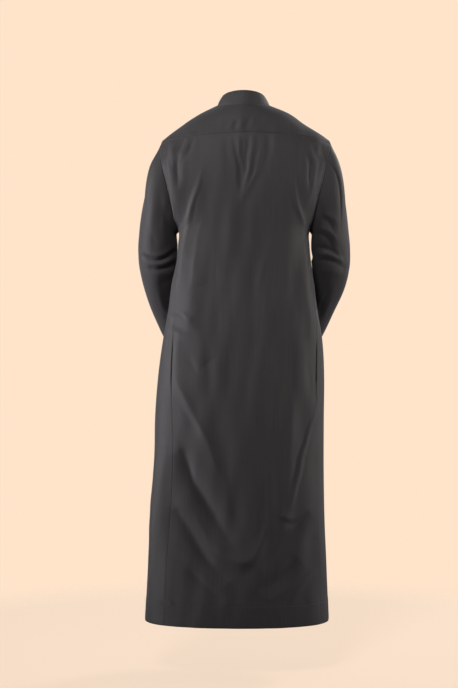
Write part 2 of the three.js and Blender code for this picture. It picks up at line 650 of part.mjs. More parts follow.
function collarPoint(angle, t) {
  const [sin, cos] = [Math.sin(angle), Math.cos(angle)];
  const base = bodyPoint(angle, NECK_LEVEL);
  base.z += SEAM_GAP;
  const reach = cos >= 0 ? COLLAR_TOP_BACK : COLLAR_TOP_FRONT;
  const rise = cos >= 0 ? COLLAR_BACK_RISE * cos ** COLLAR_BACK_ROUND : COLLAR_FRONT_DROP * cos;
  const top = new THREE.Vector3(COLLAR_TOP_HALF * sin, reach * cos, COLLAR_SIDE_LEVEL + rise);
  const lapStart = Math.PI - collarLap;
  const lapped = THREE.MathUtils.smoothstep(Math.abs(angle), lapStart - COLLAR_BLEND, lapStart);
  const layer = Math.sign(angle) * lapped * (COLLAR_WALL / 2 + SEAM_GAP);
  const out = new THREE.Vector3(sin, cos, 0);
  return base.lerp(top, t).addScaledVector(out, layer + COLLAR_BULGE * 4 * t * (1 - t));
}

function makeCollar() {
  const half = [...yokeNeckAngles.slice(1), ...steps(FRONT_COLUMNS - YOKE_SEAM_COLUMNS).slice(1)
    .map((t) => lerp(YOKE_NECK_END, Math.PI - collarLap, t)), Math.PI, Math.PI + collarLap];
  const angles = [...half.map((a) => -a).reverse(), 0, ...half];
  const outer = steps(COLLAR_ROWS).map((t) => angles.map((a) => collarPoint(a, t)));
  const inner = outer.map((row) => row.map((p, c) => {
    const out = new THREE.Vector3(Math.sin(angles[c]), Math.cos(angles[c]), 0);
    return p.clone().addScaledVector(out, -COLLAR_WALL);
  }));
  return named('collar_band', wallGeometry(outer, inner), CLOTH);
}

function makeCollarButton() {
  const up = collarPoint(Math.PI, COLLAR_BUTTON_SHARE).sub(collarPoint(Math.PI, 0));
  const normal = up.cross(new THREE.Vector3(1, 0, 0)).normalize();
  const seat = collarPoint(Math.PI, COLLAR_BUTTON_SHARE);
  return makeButton('button_collar', seat, normal.y < 0 ? normal : normal.negate());
}

const thobe = new THREE.Group();
thobe.add(makeBack(), makeYoke(), makeFront(), makeCollar());
thobe.add(makeSleeve(1), makeSleeve(-1));
thobe.add(makePlacket(), ...makePlacketButtons(), makeCollarButton());
thobe.add(makePocket(1), makePocket(-1));

export default thobe;
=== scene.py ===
import math

import bmesh
import bpy
import numpy as np
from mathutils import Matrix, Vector


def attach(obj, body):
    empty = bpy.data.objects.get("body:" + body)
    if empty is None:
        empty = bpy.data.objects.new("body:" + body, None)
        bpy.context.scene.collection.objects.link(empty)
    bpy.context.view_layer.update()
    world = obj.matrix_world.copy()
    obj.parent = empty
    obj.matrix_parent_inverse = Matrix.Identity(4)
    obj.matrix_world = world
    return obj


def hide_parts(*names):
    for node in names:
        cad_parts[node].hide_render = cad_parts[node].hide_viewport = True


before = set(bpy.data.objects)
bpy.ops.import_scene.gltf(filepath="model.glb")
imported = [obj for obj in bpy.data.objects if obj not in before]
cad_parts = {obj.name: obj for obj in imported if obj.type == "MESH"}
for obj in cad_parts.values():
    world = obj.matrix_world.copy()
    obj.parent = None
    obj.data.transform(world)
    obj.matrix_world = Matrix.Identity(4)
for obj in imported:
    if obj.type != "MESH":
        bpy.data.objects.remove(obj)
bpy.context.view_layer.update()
MM = 0.001

# ---------------------------------------------------------------------------------------
# The cloth. A smooth black polyester suiting in a fine twill, with a soft sheen and faint
# streaks along the warp. Its weave is laid along each piece's own cut, in metres.
CLOTH_BLACK = (0.031, 0.0295, 0.0305, 1)
CLOTH_WORN = (0.042, 0.040, 0.041, 1)
TWILL_PITCH = 1.1 * MM


def suiting(name, dark, light, bump):
    """A woven black cloth whose twill and warp streaks follow its own weave map."""
    cloth = bpy.data.materials.new(name)
    cloth.use_nodes = True
    nodes, links = cloth.node_tree.nodes, cloth.node_tree.links
    shader = nodes["Principled BSDF"]
    shader.inputs["IOR"].default_value = 1.5
    shader.inputs["Specular IOR Level"].default_value = 0.32
    shader.inputs["Sheen Weight"].default_value = 0.16
    shader.inputs["Sheen Roughness"].default_value = 0.42
    shader.inputs["Sheen Tint"].default_value = (0.86, 0.88, 1, 1)
    weave = nodes.new("ShaderNodeUVMap")
    weave.uv_map = "weave"

    def laid(across, along, turn=0.0):
        mapping = nodes.new("ShaderNodeMapping")
        mapping.inputs["Scale"].default_value = (across, along, 1)
        mapping.inputs["Rotation"].default_value = (0, 0, turn)
        links.new(weave.outputs["UV"], mapping.inputs["Vector"])
        return mapping.outputs["Vector"]

    def noise(vector, detail, roughness=0.5):
        made = nodes.new("ShaderNodeTexNoise")
        made.inputs["Scale"].default_value = 1
        made.inputs["Detail"].default_value = detail
        made.inputs["Roughness"].default_value = roughness
        links.new(vector, made.inputs["Vector"])
        return made.outputs["Fac"]

    streaks = noise(laid(260, 7), 4, 0.6)
    clouds = noise(laid(9, 5), 3)
    twill = nodes.new("ShaderNodeTexWave")
    twill.wave_type, twill.bands_direction = "BANDS", "X"
    twill.inputs["Scale"].default_value = 0.314 / TWILL_PITCH
    twill.inputs["Distortion"].default_value = 0.6
    twill.inputs["Detail"].default_value = 1
    links.new(laid(1, 1, math.radians(-38)), twill.inputs["Vector"])
    shade = nodes.new("ShaderNodeMath")
    shade.operation = "MULTIPLY_ADD"
    shade.inputs[1].default_value = 0.62
    links.new(streaks, shade.inputs[0])
    dust = nodes.new("ShaderNodeMath")
    dust.operation = "MULTIPLY"
    dust.inputs[1].default_value = 0.4
    links.new(clouds, dust.inputs[0])
    links.new(dust.outputs[0], shade.inputs[2])
    tone = nodes.new("ShaderNodeValToRGB")
    tone.color_ramp.elements[0].position = 0.36
    tone.color_ramp.elements[0].color = dark
    tone.color_ramp.elements[1].position = 0.66
    tone.color_ramp.elements[1].color = light
    links.new(shade.outputs[0], tone.inputs["Fac"])
    links.new(tone.outputs["Color"], shader.inputs["Base Color"])
    gloss = nodes.new("ShaderNodeMapRange")
    gloss.inputs["To Min"].default_value = 0.58
    gloss.inputs["To Max"].default_value = 0.70
    links.new(clouds, gloss.inputs["Value"])
    links.new(gloss.outputs["Result"], shader.inputs["Roughness"])
    ribs = nodes.new("ShaderNodeBump")
    ribs.inputs["Strength"].default_value = bump
    ribs.inputs["Distance"].default_value = 0.12 * MM
    links.new(twill.outputs["Fac"], ribs.inputs["Height"])
    slubs = nodes.new("ShaderNodeBump")
    slubs.inputs["Strength"].default_value = 0.5
    slubs.inputs["Distance"].default_value = 0.25 * MM
    links.new(streaks, slubs.inputs["Height"])
    links.new(ribs.outputs["Normal"], slubs.inputs["Normal"])
    links.new(slubs.outputs["Normal"], shader.inputs["Normal"])
    return cloth


black_suiting = suiting("black_suiting", CLOTH_BLACK, CLOTH_WORN, 0.35)

# ---------------------------------------------------------------------------------------
# Back, one piece of cloth from the yoke's seam to the hem, shaped by the figure inside it.
# Its hem is turned up inside and sewn, and its folds fall from the yoke, blades and hips.
CLOTH_THICK = 0.6 * MM
HEM_LEVEL = -1430 * MM
HEM_DEPTH = 65 * MM
HEM_INSIDE = 1.6 * MM
UNDERARM_LEVEL = -345 * MM
YOKE_LEVEL = -74 * MM
NECK_RISE, NECK_DROP = 4 * MM, 44 * MM
ARMHOLE_LEVEL = -220.5 * MM
ARMHOLE_RISE = 124.5 * MM
ARMHOLE_BACK = 68 * MM
ARMHOLE_FRONT = 60 * MM
YOKE_BACK_END = math.radians(20.6)
YOKE_FRONT_END = math.radians(25)

# Sections of the body: level, half width left and right, reach back and front, how far the
# widest line lies behind the middle, squareness back and front, share of the neck's dip.
LEVEL, LEFT, RIGHT, BACK, FRONT, BEHIND, SQUARE_BACK, SQUARE_FRONT, NECK = range(9)
BODY = np.array([
    (-1430, 275, 239, 150, 156, 6, 2.25, 2.25, 0),
    (-1265, 265, 232, 141, 148, 8, 2.25, 2.25, 0),
    (-1154, 260, 227, 134, 142, 10, 2.2, 2.25, 0),
    (-1000, 248, 224, 129, 137, 12, 2.2, 2.2, 0),
    (-864, 246, 224, 127, 134, 14, 2.2, 2.15, 0),
    (-740, 237, 225, 125, 131, 18, 2.2, 2.05, 0),
    (-640, 225, 221, 121, 128, 26, 2.25, 1.9, 0),
    (-560, 212, 208, 117, 126, 30, 2.35, 1.85, 0),
    (-490, 202, 199, 113, 124, 26, 2.5, 1.95, 0),
    (-430, 187, 189, 112, 122, 14, 2.7, 2.15, 0),
    (-385, 180, 184, 113, 120, 4, 2.8, 2.4, 0),
    (-345, 178, 183, 114, 119, 0, 2.8, 2.5, 0),
    (-300, 200, 205, 117, 118, 0, 2.45, 2.3, 0),
    (-261, 229, 233, 119, 117, 0, 2.2, 2.1, 0),
    (-200, 257, 261, 120, 115, 0, 2.05, 2.0, 0),
    (-144, 257, 261, 116, 111, 0, 2.0, 2.0, 0),
    (-96, 225, 239, 108, 104, 0, 2.0, 2.0, 0),
    (-48, 161, 165, 92, 90, 0, 2.0, 2.0, 0.45),
    (-22, 118, 126, 81, 83, 0, 2.0, 2.0, 0.75),
    (0, 71, 71, 68, 72, 0, 2.0, 2.0, 1),
])
BODY[:, LEVEL:SQUARE_BACK] *= MM

# Angle of the side seams from the centre back, in degrees: level, left, right.
SIDE_SEAM = np.array([
    (-1430, 50, 62), (-905, 50, 62), (-749, 55, 62), (-582, 59, 66),
    (-434, 68, 76), (-385, 79, 84), (-345, 90, 90),
]) * (MM, 1, 1)

# Folds of the back, each a line from one place (x, z) to another in millimetres, written
# from the top down or from the left across. It bows to its right, it is wide to its left
# and to its right, and it lifts the cloth or, with a minus, sinks it.
CREASE_ROUND = 0.42
BACK_FOLDS = [
    # Gathered under the middle of the yoke, the pleats run together in a V.
    (44, -84, 46, -160, 0, 4, 5, -1.6),
    (26, -82, 12, -222, 3, 4, 4, -5.4),
    (14, -84, 9, -190, 0, 4, 4, 3.8),
    (2, -84, 12, -200, 0, 4, 4, -4.6),
    (-14, -82, 10, -238, 2, 4, 4, -5.9),
    (-26, -84, 4, -240, 3, 4, 4, 4.9),
    (-36, -82, -4, -228, 4, 4, 4, -4.3),
    (-58, -82, 6, -262, 10, 7, 5, 4.1),
    (-66, -84, -10, -236, 9, 5, 8, -3.0),
    (-84, -86, -72, -170, 0, 8, 10, 1.9),
    (66, -100, 60, -210, 0, 10, 10, 1.2),
    (40, -250, 46, -440, 0, 12, 14, 1.6),
    (-44, -262, -34, -370, 0, 7, 8, -1.5),
    (-74, -240, -78, -360, 0, 10, 8, -1.3),
    (-70, -420, -52, -492, 0, 4, 6, -1.9),
    (-58, -410, -40, -520, 0, 8, 6, 1.4),
    (-26, -380, -30, -520, 0, 9, 9, -1.2),
    (78, -430, 76, -500, 0, 4, 6, -1.2),
    (20, -400, 16, -640, 0, 14, 16, 1.3),
    (-20, -500, -26, -720, 0, 18, 16, -1.4),
    # Blades.
    (112, -176, 178, -462, -7, 4, 13, 5.0),
    (106, -186, 140, -350, -6, 4, 5, -1.8),
    (138, -316, 184, -486, -3, 4, 11, 4.0),
    (107, -300, 149, -520, -4, 6, 9, 2.0),
    (126, -400, 146, -600, 0, 18, 16, 2.6),
    (92, -330, 106, -640, 0, 16, 18, -2.4),
    (-131, -180, -178, -380, -5, 13, 4, 4.6),
    (-122, -196, -158, -340, -5, 8, 5, -1.6),
    (-158, -320, -186, -480, -3, 11, 4, 4.4),
    (-168, -440, -188, -650, 0, 12, 14, 3.0),
    (-132, -380, -150, -620, 0, 18, 14, -2.0),
    # Pulled towards the armholes.
    (158, -88, 184, -140, 0, 4, 4, -5.4),
    (146, -90, 170, -146, 0, 4, 5, 3.8),
    (134, -88, 162, -150, 3, 4, 4, -5.1),
    (120, -92, 150, -150, 3, 4, 6, 1.8),
    (182, -98, 198, -142, 0, 4, 4, 3.5),
    (204, -108, 220, -160, 0, 4, 4, -4.8),
    (198, -114, 180, -330, -5, 5, 48, 14.0),
    (181, -320, 186, -420, 0, 8, 44, 6.0),
    (170, -134, 178, -214, -5, 4, 4, -4.5),
    (176, -126, 176, -226, -4, 4, 4, -5.4),
    (216, -128, 196, -228, -4, 5, 5, 3.2),
    (150, -130, 166, -206, -6, 4, 5, 3.0),
    (158, -138, 170, -210, -4, 4, 5, -4.2),
    (204, -120, 192, -172, 0, 4, 4, -3.9),
    (-186, -102, -206, -154, 0, 4, 4, -5.1),
    (-172, -104, -192, -164, 0, 4, 4, 3.5),
    (-210, -108, -228, -148, 0, 4, 4, -4.5),
    (-204, -124, -232, -160, 0, 6, 6, -3.9),
    (-202, -116, -180, -330, 5, 46, 5, 7.5),
    (-172, -134, -182, -210, 4, 4, 4, -4.2),
    (-180, -132, -178, -230, 4, 4, 4, -5.1),
    (-218, -134, -198, -232, 4, 5, 5, 3.0),
    (-204, -150, -188, -236, 5, 4, 4, -3.0),
    (-196, -160, -166, -280, 6, 6, 5, 1.8),
    (-150, -130, -160, -190, 0, 6, 6, -1.8),
    # Waist and seat.
    (152, -520, 96, -492, 5, 3, 4, -1.4),
    (118, -540, 150, -600, 0, 8, 8, 1.6),
    (164, -560, 118, -612, -8, 8, 7, 2.2),
    (204, -574, 150, -598, 4, 4, 4, 2.8),
    (196, -594, 140, -622, -5, 4, 5, -2.0),
    (176, -566, 128, -596, 3, 4, 4, 2.2),
    (206, -612, 158, -640, 3, 4, 7, 1.8),
    (150, -690, 128, -740, 0, 9, 7, -1.8),
    (132, -740, 60, -682, 6, 3, 4, -1.5),
    (176, -600, 186, -720, 0, 12, 12, 2.4),
    (-150, -640, -142, -780, 0, 14, 16, 2.0),
    (-176, -700, -184, -800, 0, 9, 8, -1.8),
    (124, -560, 104, -800, -4, 42, 16, 4.5),
    # Skirt, left.
    (242, -930, 250, -1400, 0, 14, 38, 15.0),
    (192, -732, 64, -1010, 3, 13, 13, 6.4),
    (186, -790, 118, -905, 0, 12, 14, -2.4),
    (176, -944, 36, -1196, -9, 20, 22, -17.0),
    (190, -915, 168, -985, 0, 8, 9, 1.8),
    (160, -968, 134, -1060, 0, 7, 7, -2.6),
    (150, -960, 122, -1034, 0, 6, 6, 1.0),
    (184, -1102, 40, -1300, -17, 20, 18, -16.0),
    (140, -1110, 92, -1205, 0, 11, 12, 3.0),
    (212, -900, 222, -1070, 0, 14, 10, 3.6),
    (206, -1110, 196, -1300, 0, 20, 20, -3.0),
    (156, -1262, 46, -1352, -8, 16, 11, -8.0),
    (138, -1280, 20, -1362, -8, 9, 10, 2.4),
    # Skirt, middle: the bowl under the seat, lit on its rim and dark below.
    (76, -1212, -66, -1170, -58, 9, 22, 7.6),
    (74, -1248, -40, -1246, -34, 26, 12, -3.0),
    (-34, -1258, -186, -1118, -5, 22, 12, -13.0),
    (-40, -1330, -148, -1240, -7, 20, 9, -9.5),
    (44, -960, 22, -1160, 0, 18, 16, -3.0),
    (-58, -930, -44, -1140, 6, 18, 14, -3.0),
    (-30, -1000, -26, -1200, 5, 9, 11, 2.6),
    (-58, -1080, -40, -1190, 4, 7, 8, -2.4),
    (8, -880, 0, -1040, 0, 26, 26, 2.0),
    # Skirt, right.
    (-206, -800, -122, -1120, -3, 5, 7, 4.6),
    (-196, -830, -116, -1085, -3, 5, 4, -2.8),
    (-206, -850, -140, -1090, -3, 4, 5, -2.2),
    (-129, -805, -113, -1140, 8, 14, 9, 2.6),
    (-98, -900, -86, -1120, 6, 14, 14, -2.4),
    (-104, -1112, -138, -1128, -10, 7, 9, 4.6),
    (-110, -1142, -178, -1122, -12, 10, 5, -3.0),
    (-158, -1202, -206, -1194, 3, 4, 6, -1.0),
    (-150, -1300, -60, -1362, 0, 9, 10, 2.4),
    (-196, -1270, -130, -1370, -6, 9, 8, 3.2),
    (-212, -1150, -206, -1330, 0, 14, 12, 2.6),
    (-84, -1352, -92, -1400, 0, 6, 7, 1.8),
    # Short puckers where the hem is sewn.
    (222, -1352, 218, -1374, 0, 4, 5, -1.6),
    (204, -1350, 196, -1376, 0, 4, 5, 1.6),
    (188, -1354, 186, -1374, 0, 4, 4, -1.4),
    (60, -1356, 40, -1366, 0, 4, 4, 1.0),
    (-30, -1354, -34, -1376, 0, 5, 5, 1.1),
    (-60, -1352, -68, -1372, 0, 4, 5, -1.0),
    (-170, -1352, -176, -1374, 0, 5, 5, -1.1),
    # Press marks across the seat, left from folding.
    (96, -832, 4, -833, 0, 2.6, 3.4, -0.3),
    (148, -950, 62, -951, 0, 2.6, 3.4, -0.25),
]

# Folds of the yoke: short pulls from the collar's foot and above the seam.
YOKE_FOLDS = [
    (24, -36, 42, -66, 0, 3, 4, 2.2),
    (12, -38, 26, -66, 0, 3, 4, -2.4),
    (-2, -34, 12, -66, 0, 3, 4, 2.4),
    (-18, -36, -4, -66, 0, 3, 4, -2.2),
    (-34, -36, -20, -64, 0, 4, 4, 2.0),
    (-50, -38, -40, -64, 0, 4, 5, -0.8),
    (128, -72, 116, -92, 0, 4, 5, -2.0),
    (146, -78, 138, -98, 0, 4, 5, 2.2),
    (176, -92, 160, -112, 0, 5, 6, -2.4),
    (-150, -84, -146, -104, 0, 5, 6, 1.0),
    (90, -40, 40, -22, 0, 5, 7, 0.9),
    (-94, -44, -44, -22, 0, 7, 5, 0.9),
]

# The front has the same kinds of fold: pulls from the armholes to the placket, slack over
# the dent of each forearm, and long hollows down the skirt.
FRONT_FOLDS = [
    (196, -150, 150, -236, -4, 8, 9, -3.6),
    (182, -140, 138, -214, -4, 7, 9, 2.6),
    (166, -210, 120, -330, -6, 12, 12, 2.6),
    (-200, -150, -150, -250, 4, 9, 8, -3.8),
    (-184, -134, -142, -206, 4, 8, 7, 2.4),
    (-160, -220, -112, -348, 6, 12, 12, 2.8),
    (92, -120, 70, -250, 0, 12, 14, -1.6),
    (-88, -110, -72, -270, 0, 12, 12, -1.7),
    (128, -330, 86, -480, -6, 14, 14, -3.0),
    (-120, -345, -92, -470, 6, 12, 14, -2.6),
    (60, -360, 40, -560, 0, 16, 14, 2.2),
    (-52, -380, -48, -600, 0, 14, 16, 2.4),
    (166, -470, 96, -556, -8, 14, 11, 4.2),
    (-164, -486, -104, -560, 8, 11, 14, 3.8),
    (150, -540, 70, -600, -12, 12, 12, -4.0),
    (-150, -556, -66, -606, 12, 12, 12, -3.6),
    (24, -540, -16, -700, 0, 14, 14, -2.6),
    (196, -700, 152, -900, -8, 15, 11, 4.4),
    (-188, -690, -150, -880, 8, 11, 15, 4.0),
    (150, -620, 40, -1010, 14, 26, 18, -8.0),
    (-150, -640, -55, -960, -12, 18, 26, -7.0),
    (96, -700, 66, -960, 0, 16, 20, 4.4),
    (-102, -720, -80, -1010, 0, 20, 15, 4.0),
    (10, -780, 16, -1180, 0, 24, 26, 4.0),
    (175, -960, 95, -1380, -8, 24, 18, 8.0),
    (128, -1000, 66, -1340, -8, 16, 16, -5.6),
    (-150, -930, -120, -1390, 8, 20, 26, 9.0),
    (-98, -1000, -70, -1330, 8, 16, 18, -6.0),
    (34, -1080, 8, -1370, 0, 16, 20, -4.2),
    (-20, -1120, -36, -1390, 0, 18, 16, 3.8),
    (218, -1000, 226, -1300, 0, 16, 16, -3.6),
    (-196, -960, -204, -1280, 0, 16, 16, -3.4),
    (70, -1352, 64, -1376, 0, 5, 5, 1.3),
    (-88, -1350, -94, -1376, 0, 5, 5, -1.4),
    (150, -1350, 146, -1376, 0, 4, 5, 1.4),
]

# The forearms press the front in at each side: its middle, its spread and its depth.
DENT_ANGLE, DENT_SPREAD = math.radians(126), math.radians(24)
DENT_LEVEL, DENT_HEIGHT, DENT_DEPTH = -560 * MM, 90 * MM, 16 * MM

# Slack: long shallow waves that no worn cloth is without.
slack = np.random.default_rng(11)
SLACK_WAVES = np.column_stack([
    2 * np.pi / (slack.uniform(45, 150, 14) * MM),
    2 * np.pi / (slack.uniform(170, 640, 14) * MM) * slack.choice([-1, 1], 14),
    slack.uniform(0, 2 * np.pi, 14),
    slack.uniform(0.16, 0.42, 14) * MM,
])


def between(table, place, column):
    """A column of a table of sections, eased from row to row, at places along column 0."""
    along, value = table[:, 0], table[:, column]
    rows = np.arange(len(along))
    below, above = np.maximum(rows - 1, 0), np.minimum(rows + 1, rows[-1])
    slope = (value[above] - value[below]) / (along[above] - along[below])
    k = np.clip(np.searchsorted(along, place) - 1, 0, len(along) - 2)
    span = along[k + 1] - along[k]
    t = np.clip((place - along[k]) / span, 0, 1)
    eased = value[k] + (value[k + 1] - value[k]) * t * t * (3 - 2 * t)
    return eased + span * t * (1 - t) * ((1 - t) * slope[k] - t * slope[k + 1])


def eased_step(low, high, value):
    t = np.clip((value - low) / (high - low), 0, 1)
    return t * t * (3 - 2 * t)


def fold_lift(folds, x, z):
    """How far a set of folds lifts the cloth at places on its face."""
    x, z = x / MM, z / MM
    wobble = 2.2 * np.sin(z / 37 + x / 90) + 1.1 * np.sin(z / 13.7 - x / 41 + 2)
    x = x + wobble
    z = z + 2.0 * np.sin(x / 33 + 1) + 0.8 * np.sin(x / 12.3 - z / 60)
    lift = np.zeros_like(x)
    for x0, z0, x1, z1, bow, left, right, height in folds:
        dx, dz = x1 - x0, z1 - z0
        long = math.hypot(dx, dz)
        t = ((x - x0) * dx + (z - z0) * dz) / long**2
        on = np.clip(t, 0, 1)
        across = ((x - x0) * dz - (z - z0) * dx) / long - 4 * bow * on * (1 - on)
        beyond = (t - on) * long
        wide = np.where(across > 0, right, left)
        taper = 0.12 + 0.88 * np.sin(np.pi * on) ** 0.75
        away = np.sqrt((across / wide) ** 2 + CREASE_ROUND**2) - CREASE_ROUND
        lift += height * taper * np.exp(-away - 0.5 * (beyond / (left + right)) ** 2)
    return lift * MM


def slack_lift(x, z):
    across, down, phase, height = SLACK_WAVES.T
    return (np.sin(x[..., None] * across + z[..., None] * down + phase) * height).sum(-1)


def smooth_body(angle, level):
    """A place on the body's form without its folds."""
    sin, cos = np.sin(angle), np.cos(angle)
    column = lambda name: between(BODY, level, name)
    at_back = cos >= 0
    power = 2 / np.where(at_back, column(SQUARE_BACK), column(SQUARE_FRONT))
    width = np.where(sin >= 0, column(LEFT), column(RIGHT))
    behind = column(BEHIND)
    reach = np.where(at_back, column(BACK) - behind, column(FRONT) + behind)
    x = width * np.sign(sin) * np.abs(sin) ** power
    y = behind + reach * np.sign(cos) * np.abs(cos) ** power
    z = level + column(NECK) * (NECK_RISE - NECK_DROP * np.minimum(cos, 0) ** 2)
    return np.stack([x, y, z], -1)


def body_normal(angle, level):
    turn, rise = 0.01, 2 * MM
    round_it = smooth_body(angle + turn, level) - smooth_body(angle - turn, level)
    low, high = np.maximum(level - rise, HEM_LEVEL), np.minimum(level + rise, 0)
    up = smooth_body(angle, high) - smooth_body(angle, low)
    normal = np.cross(up, round_it)
    return normal / np.linalg.norm(normal, axis=-1, keepdims=True)


def body_lift(angle, level):
    """Folds, slack and the forearms' dents, by the face of the body that they are on."""
    place = smooth_body(angle, level)
    x, z = place[..., 0], place[..., 2]
    cos = np.cos(angle)
    facing = np.minimum(1, 3 * np.abs(cos))
    yoke = eased_step(YOKE_LEVEL - 12 * MM, YOKE_LEVEL + 4 * MM, level + 0.10 * x * x)
    back = fold_lift(BACK_FOLDS, x, z) * (1 - yoke) + fold_lift(YOKE_FOLDS, x, z) * yoke
    front = 1.25 * fold_lift(FRONT_FOLDS, x, z)
    aside = (np.arccos(np.clip(cos, -1, 1)) - DENT_ANGLE) / DENT_SPREAD
    dent = DENT_DEPTH * np.exp(-0.5 * (aside**2 + ((level - DENT_LEVEL) / DENT_HEIGHT) ** 2))
    calm = eased_step(0, 60 * MM, -level)
    return np.where(cos >= 0, back, front) * facing + slack_lift(x, z) * facing * calm - dent


def body_form(angle, level, inset=0.0):
    """Places on the worn cloth, and the ways out of it."""
    normal = body_normal(angle, level)
    lift = body_lift(angle, level) - inset
    return smooth_body(angle, level) + normal * lift[..., None], normal


def seam_angle(side, level):
    return np.radians(between(SIDE_SEAM, level, 1 if side > 0 else 2))


def armhole_place(turn):
    """Angle (without its side's sign) and level on the armhole, by the turn from its top."""
    y = np.sin(turn) * np.where(turn >= 0, ARMHOLE_BACK, ARMHOLE_FRONT)
    level = ARMHOLE_LEVEL + ARMHOLE_RISE * np.cos(turn)
    at_back = y >= 0
    reach = between(BODY, level, BACK) * at_back + between(BODY, level, FRONT) * ~at_back
    square = between(BODY, level, SQUARE_BACK) * at_back + between(BODY, level, SQUARE_FRONT) * ~at_back
    return np.arccos(np.clip(np.sign(y) * np.abs(y / reach) ** (square / 2), -1, 1)), level


def steps(*stops):
    """Stops and steps in turn: start, step, stop, step, stop, with whole steps between."""
    made = [np.array([stops[0]])]
    for start, step, stop in zip(stops[0::2], stops[1::2], stops[2::2]):
        count = max(1, round(abs(stop - start) / step))
        made.append(np.linspace(start, stop, count + 1)[1:])
    return np.concatenate(made)


def patch(bottom, top, inner, outer, s, t):
    """Places inside four edges, by Coons's rule. Each edge gives an angle and a level."""
    made = []
    for k in range(2):
        b, u, i, o = bottom(s)[k], top(s)[k], inner[k], outer[k]
        b0, b1 = bottom(np.zeros_like(s))[k], bottom(np.ones_like(s))[k]
        u0, u1 = top(np.zeros_like(s))[k], top(np.ones_like(s))[k]
        corners = (b0 + (b1 - b0) * s) * (1 - t) + (u0 + (u1 - u0) * s) * t
        made.append(b + (u - b) * t + i + (o - i) * s - corners)
    return made


# A hemmed edge's rows from the top of the turn-up, down inside, round the fold and up:
# how far above the edge, and how far inside the cloth's face.
def hem_rows(depth, inside):
    up = steps(depth, 6 * MM, 2 * MM)
    fold = np.array([(0.9, 0.92), (0.25, 0.72), (0.0, 0.45), (0.25, 0.18), (0.9, 0.02)])
    return np.concatenate([up, fold[:, 0] * MM]), np.concatenate([up * 0 + inside, fold[:, 1] * inside])


hem_above, hem_inset = hem_rows(HEM_DEPTH - 2 * MM, HEM_INSIDE)
STITCHED = HEM_LEVEL + HEM_DEPTH
lower_levels = np.concatenate([
    HEM_LEVEL + hem_above,
    steps(
        HEM_LEVEL + 2 * MM, 4.6 * MM, STITCHED - 5 * MM, 1.2 * MM, STITCHED + 5 * MM,
        4.9 * MM, UNDERARM_LEVEL,
    ),
])
lower_insets = np.zeros_like(lower_levels)
lower_insets[: len(hem_inset)] = hem_inset
HALF = steps(0, 0.0205, 0.94, 0.0125, 0.965, 0.007, 0.993, 0.0035, 1)
yoke_end = [float(v) for v in armhole_place(np.array(YOKE_BACK_END))]


def yoke_seam(s):
    return yoke_end[0] * s, YOKE_LEVEL + (yoke_end[1] - YOKE_LEVEL) * s**2.2


def armhole_turns(level):
    return np.arccos(np.clip((level - ARMHOLE_LEVEL) / ARMHOLE_RISE, -1, 1))


def rising(top):
    """Shares of the way up an armhole: close together at its foot and under its top seam."""
    foot = 0.08 * (1 - np.cos(np.linspace(0, np.pi / 2, 16)))
    return np.concatenate([foot, steps(0.08, 0.0175, top, 0.0042, 1)[1:]])


def back_half(side):
    """Rows of angles, levels and insets of one half of the back, from the centre out."""
    s, level = np.meshgrid(HALF, lower_levels)
    inset = np.meshgrid(HALF, lower_insets)[1]
    t = rising(0.955)[1:]
    upper_s, upper_t = np.meshgrid(HALF, t)
    outer_level = UNDERARM_LEVEL + (yoke_end[1] - UNDERARM_LEVEL) * upper_t
    outer = armhole_place(armhole_turns(outer_level))
    inner = (0 * upper_t, UNDERARM_LEVEL + (YOKE_LEVEL - UNDERARM_LEVEL) * upper_t)
    bottom = lambda s: (np.pi / 2 * s, UNDERARM_LEVEL + 0 * s)
    angle_up, level_up = patch(bottom, yoke_seam, inner, outer, upper_s, upper_t)
    angle = np.concatenate([seam_angle(side, level) * s, angle_up])
    return side * angle, np.concatenate([level, level_up]), np.concatenate([inset, 0 * angle_up])


def halves_joined(left, right):
    """Rows from the right edge to the left edge, from halves that run out from the middle."""
    return [np.concatenate([r[:, :0:-1], l], axis=1) for l, r in zip(left, right)]


def armhole_line(side, turns=np.linspace(-math.pi, math.pi, 400)):
    angle, level = armhole_place(turns)
    return body_form(side * angle, level)[0]


def yoke_line(side):
    angle, level = yoke_seam(np.linspace(0, 1, 160))
    return body_form(side * angle, level)[0]


def near(places, line, reach):
    """How far each place is from a line, no further than a reach."""
    far = np.full(places.shape[:-1], reach)
    low, high = line.min(0) - reach, line.max(0) + reach
    close = ((places > low) & (places < high)).all(-1)
    found = places[close]
    if len(found):
        nearest = np.full(len(found), reach)
        for part in np.array_split(line, max(1, len(line) // 40)):
            apart = np.linalg.norm(found[:, None] - part[None], axis=-1).min(1)
            nearest = np.minimum(nearest, apart)
        far[close] = nearest
    return far


TOPSTITCH = 6 * MM
PLY = 0.55 * MM


def topstitched(distance):
    """The face beside a seam whose turnings lie under it and are stitched down."""
    raised = PLY * (1 - eased_step(TOPSTITCH + 1 * MM, TOPSTITCH + 3 * MM, distance))
    rolled = -1.0 * MM * np.exp(-((distance / (0.9 * MM)) ** 2))
    sunk = -0.35 * MM * np.exp(-(((distance - TOPSTITCH) / (1.0 * MM)) ** 2))
    return raised + rolled + sunk


def plain_seam(distance):
    return -0.6 * MM * np.exp(-((distance / (1.5 * MM)) ** 2))


def pressed_seam(distance):
    """A seam pressed flat, which shows less on this side of it."""
    return 0.35 * plain_seam(distance)


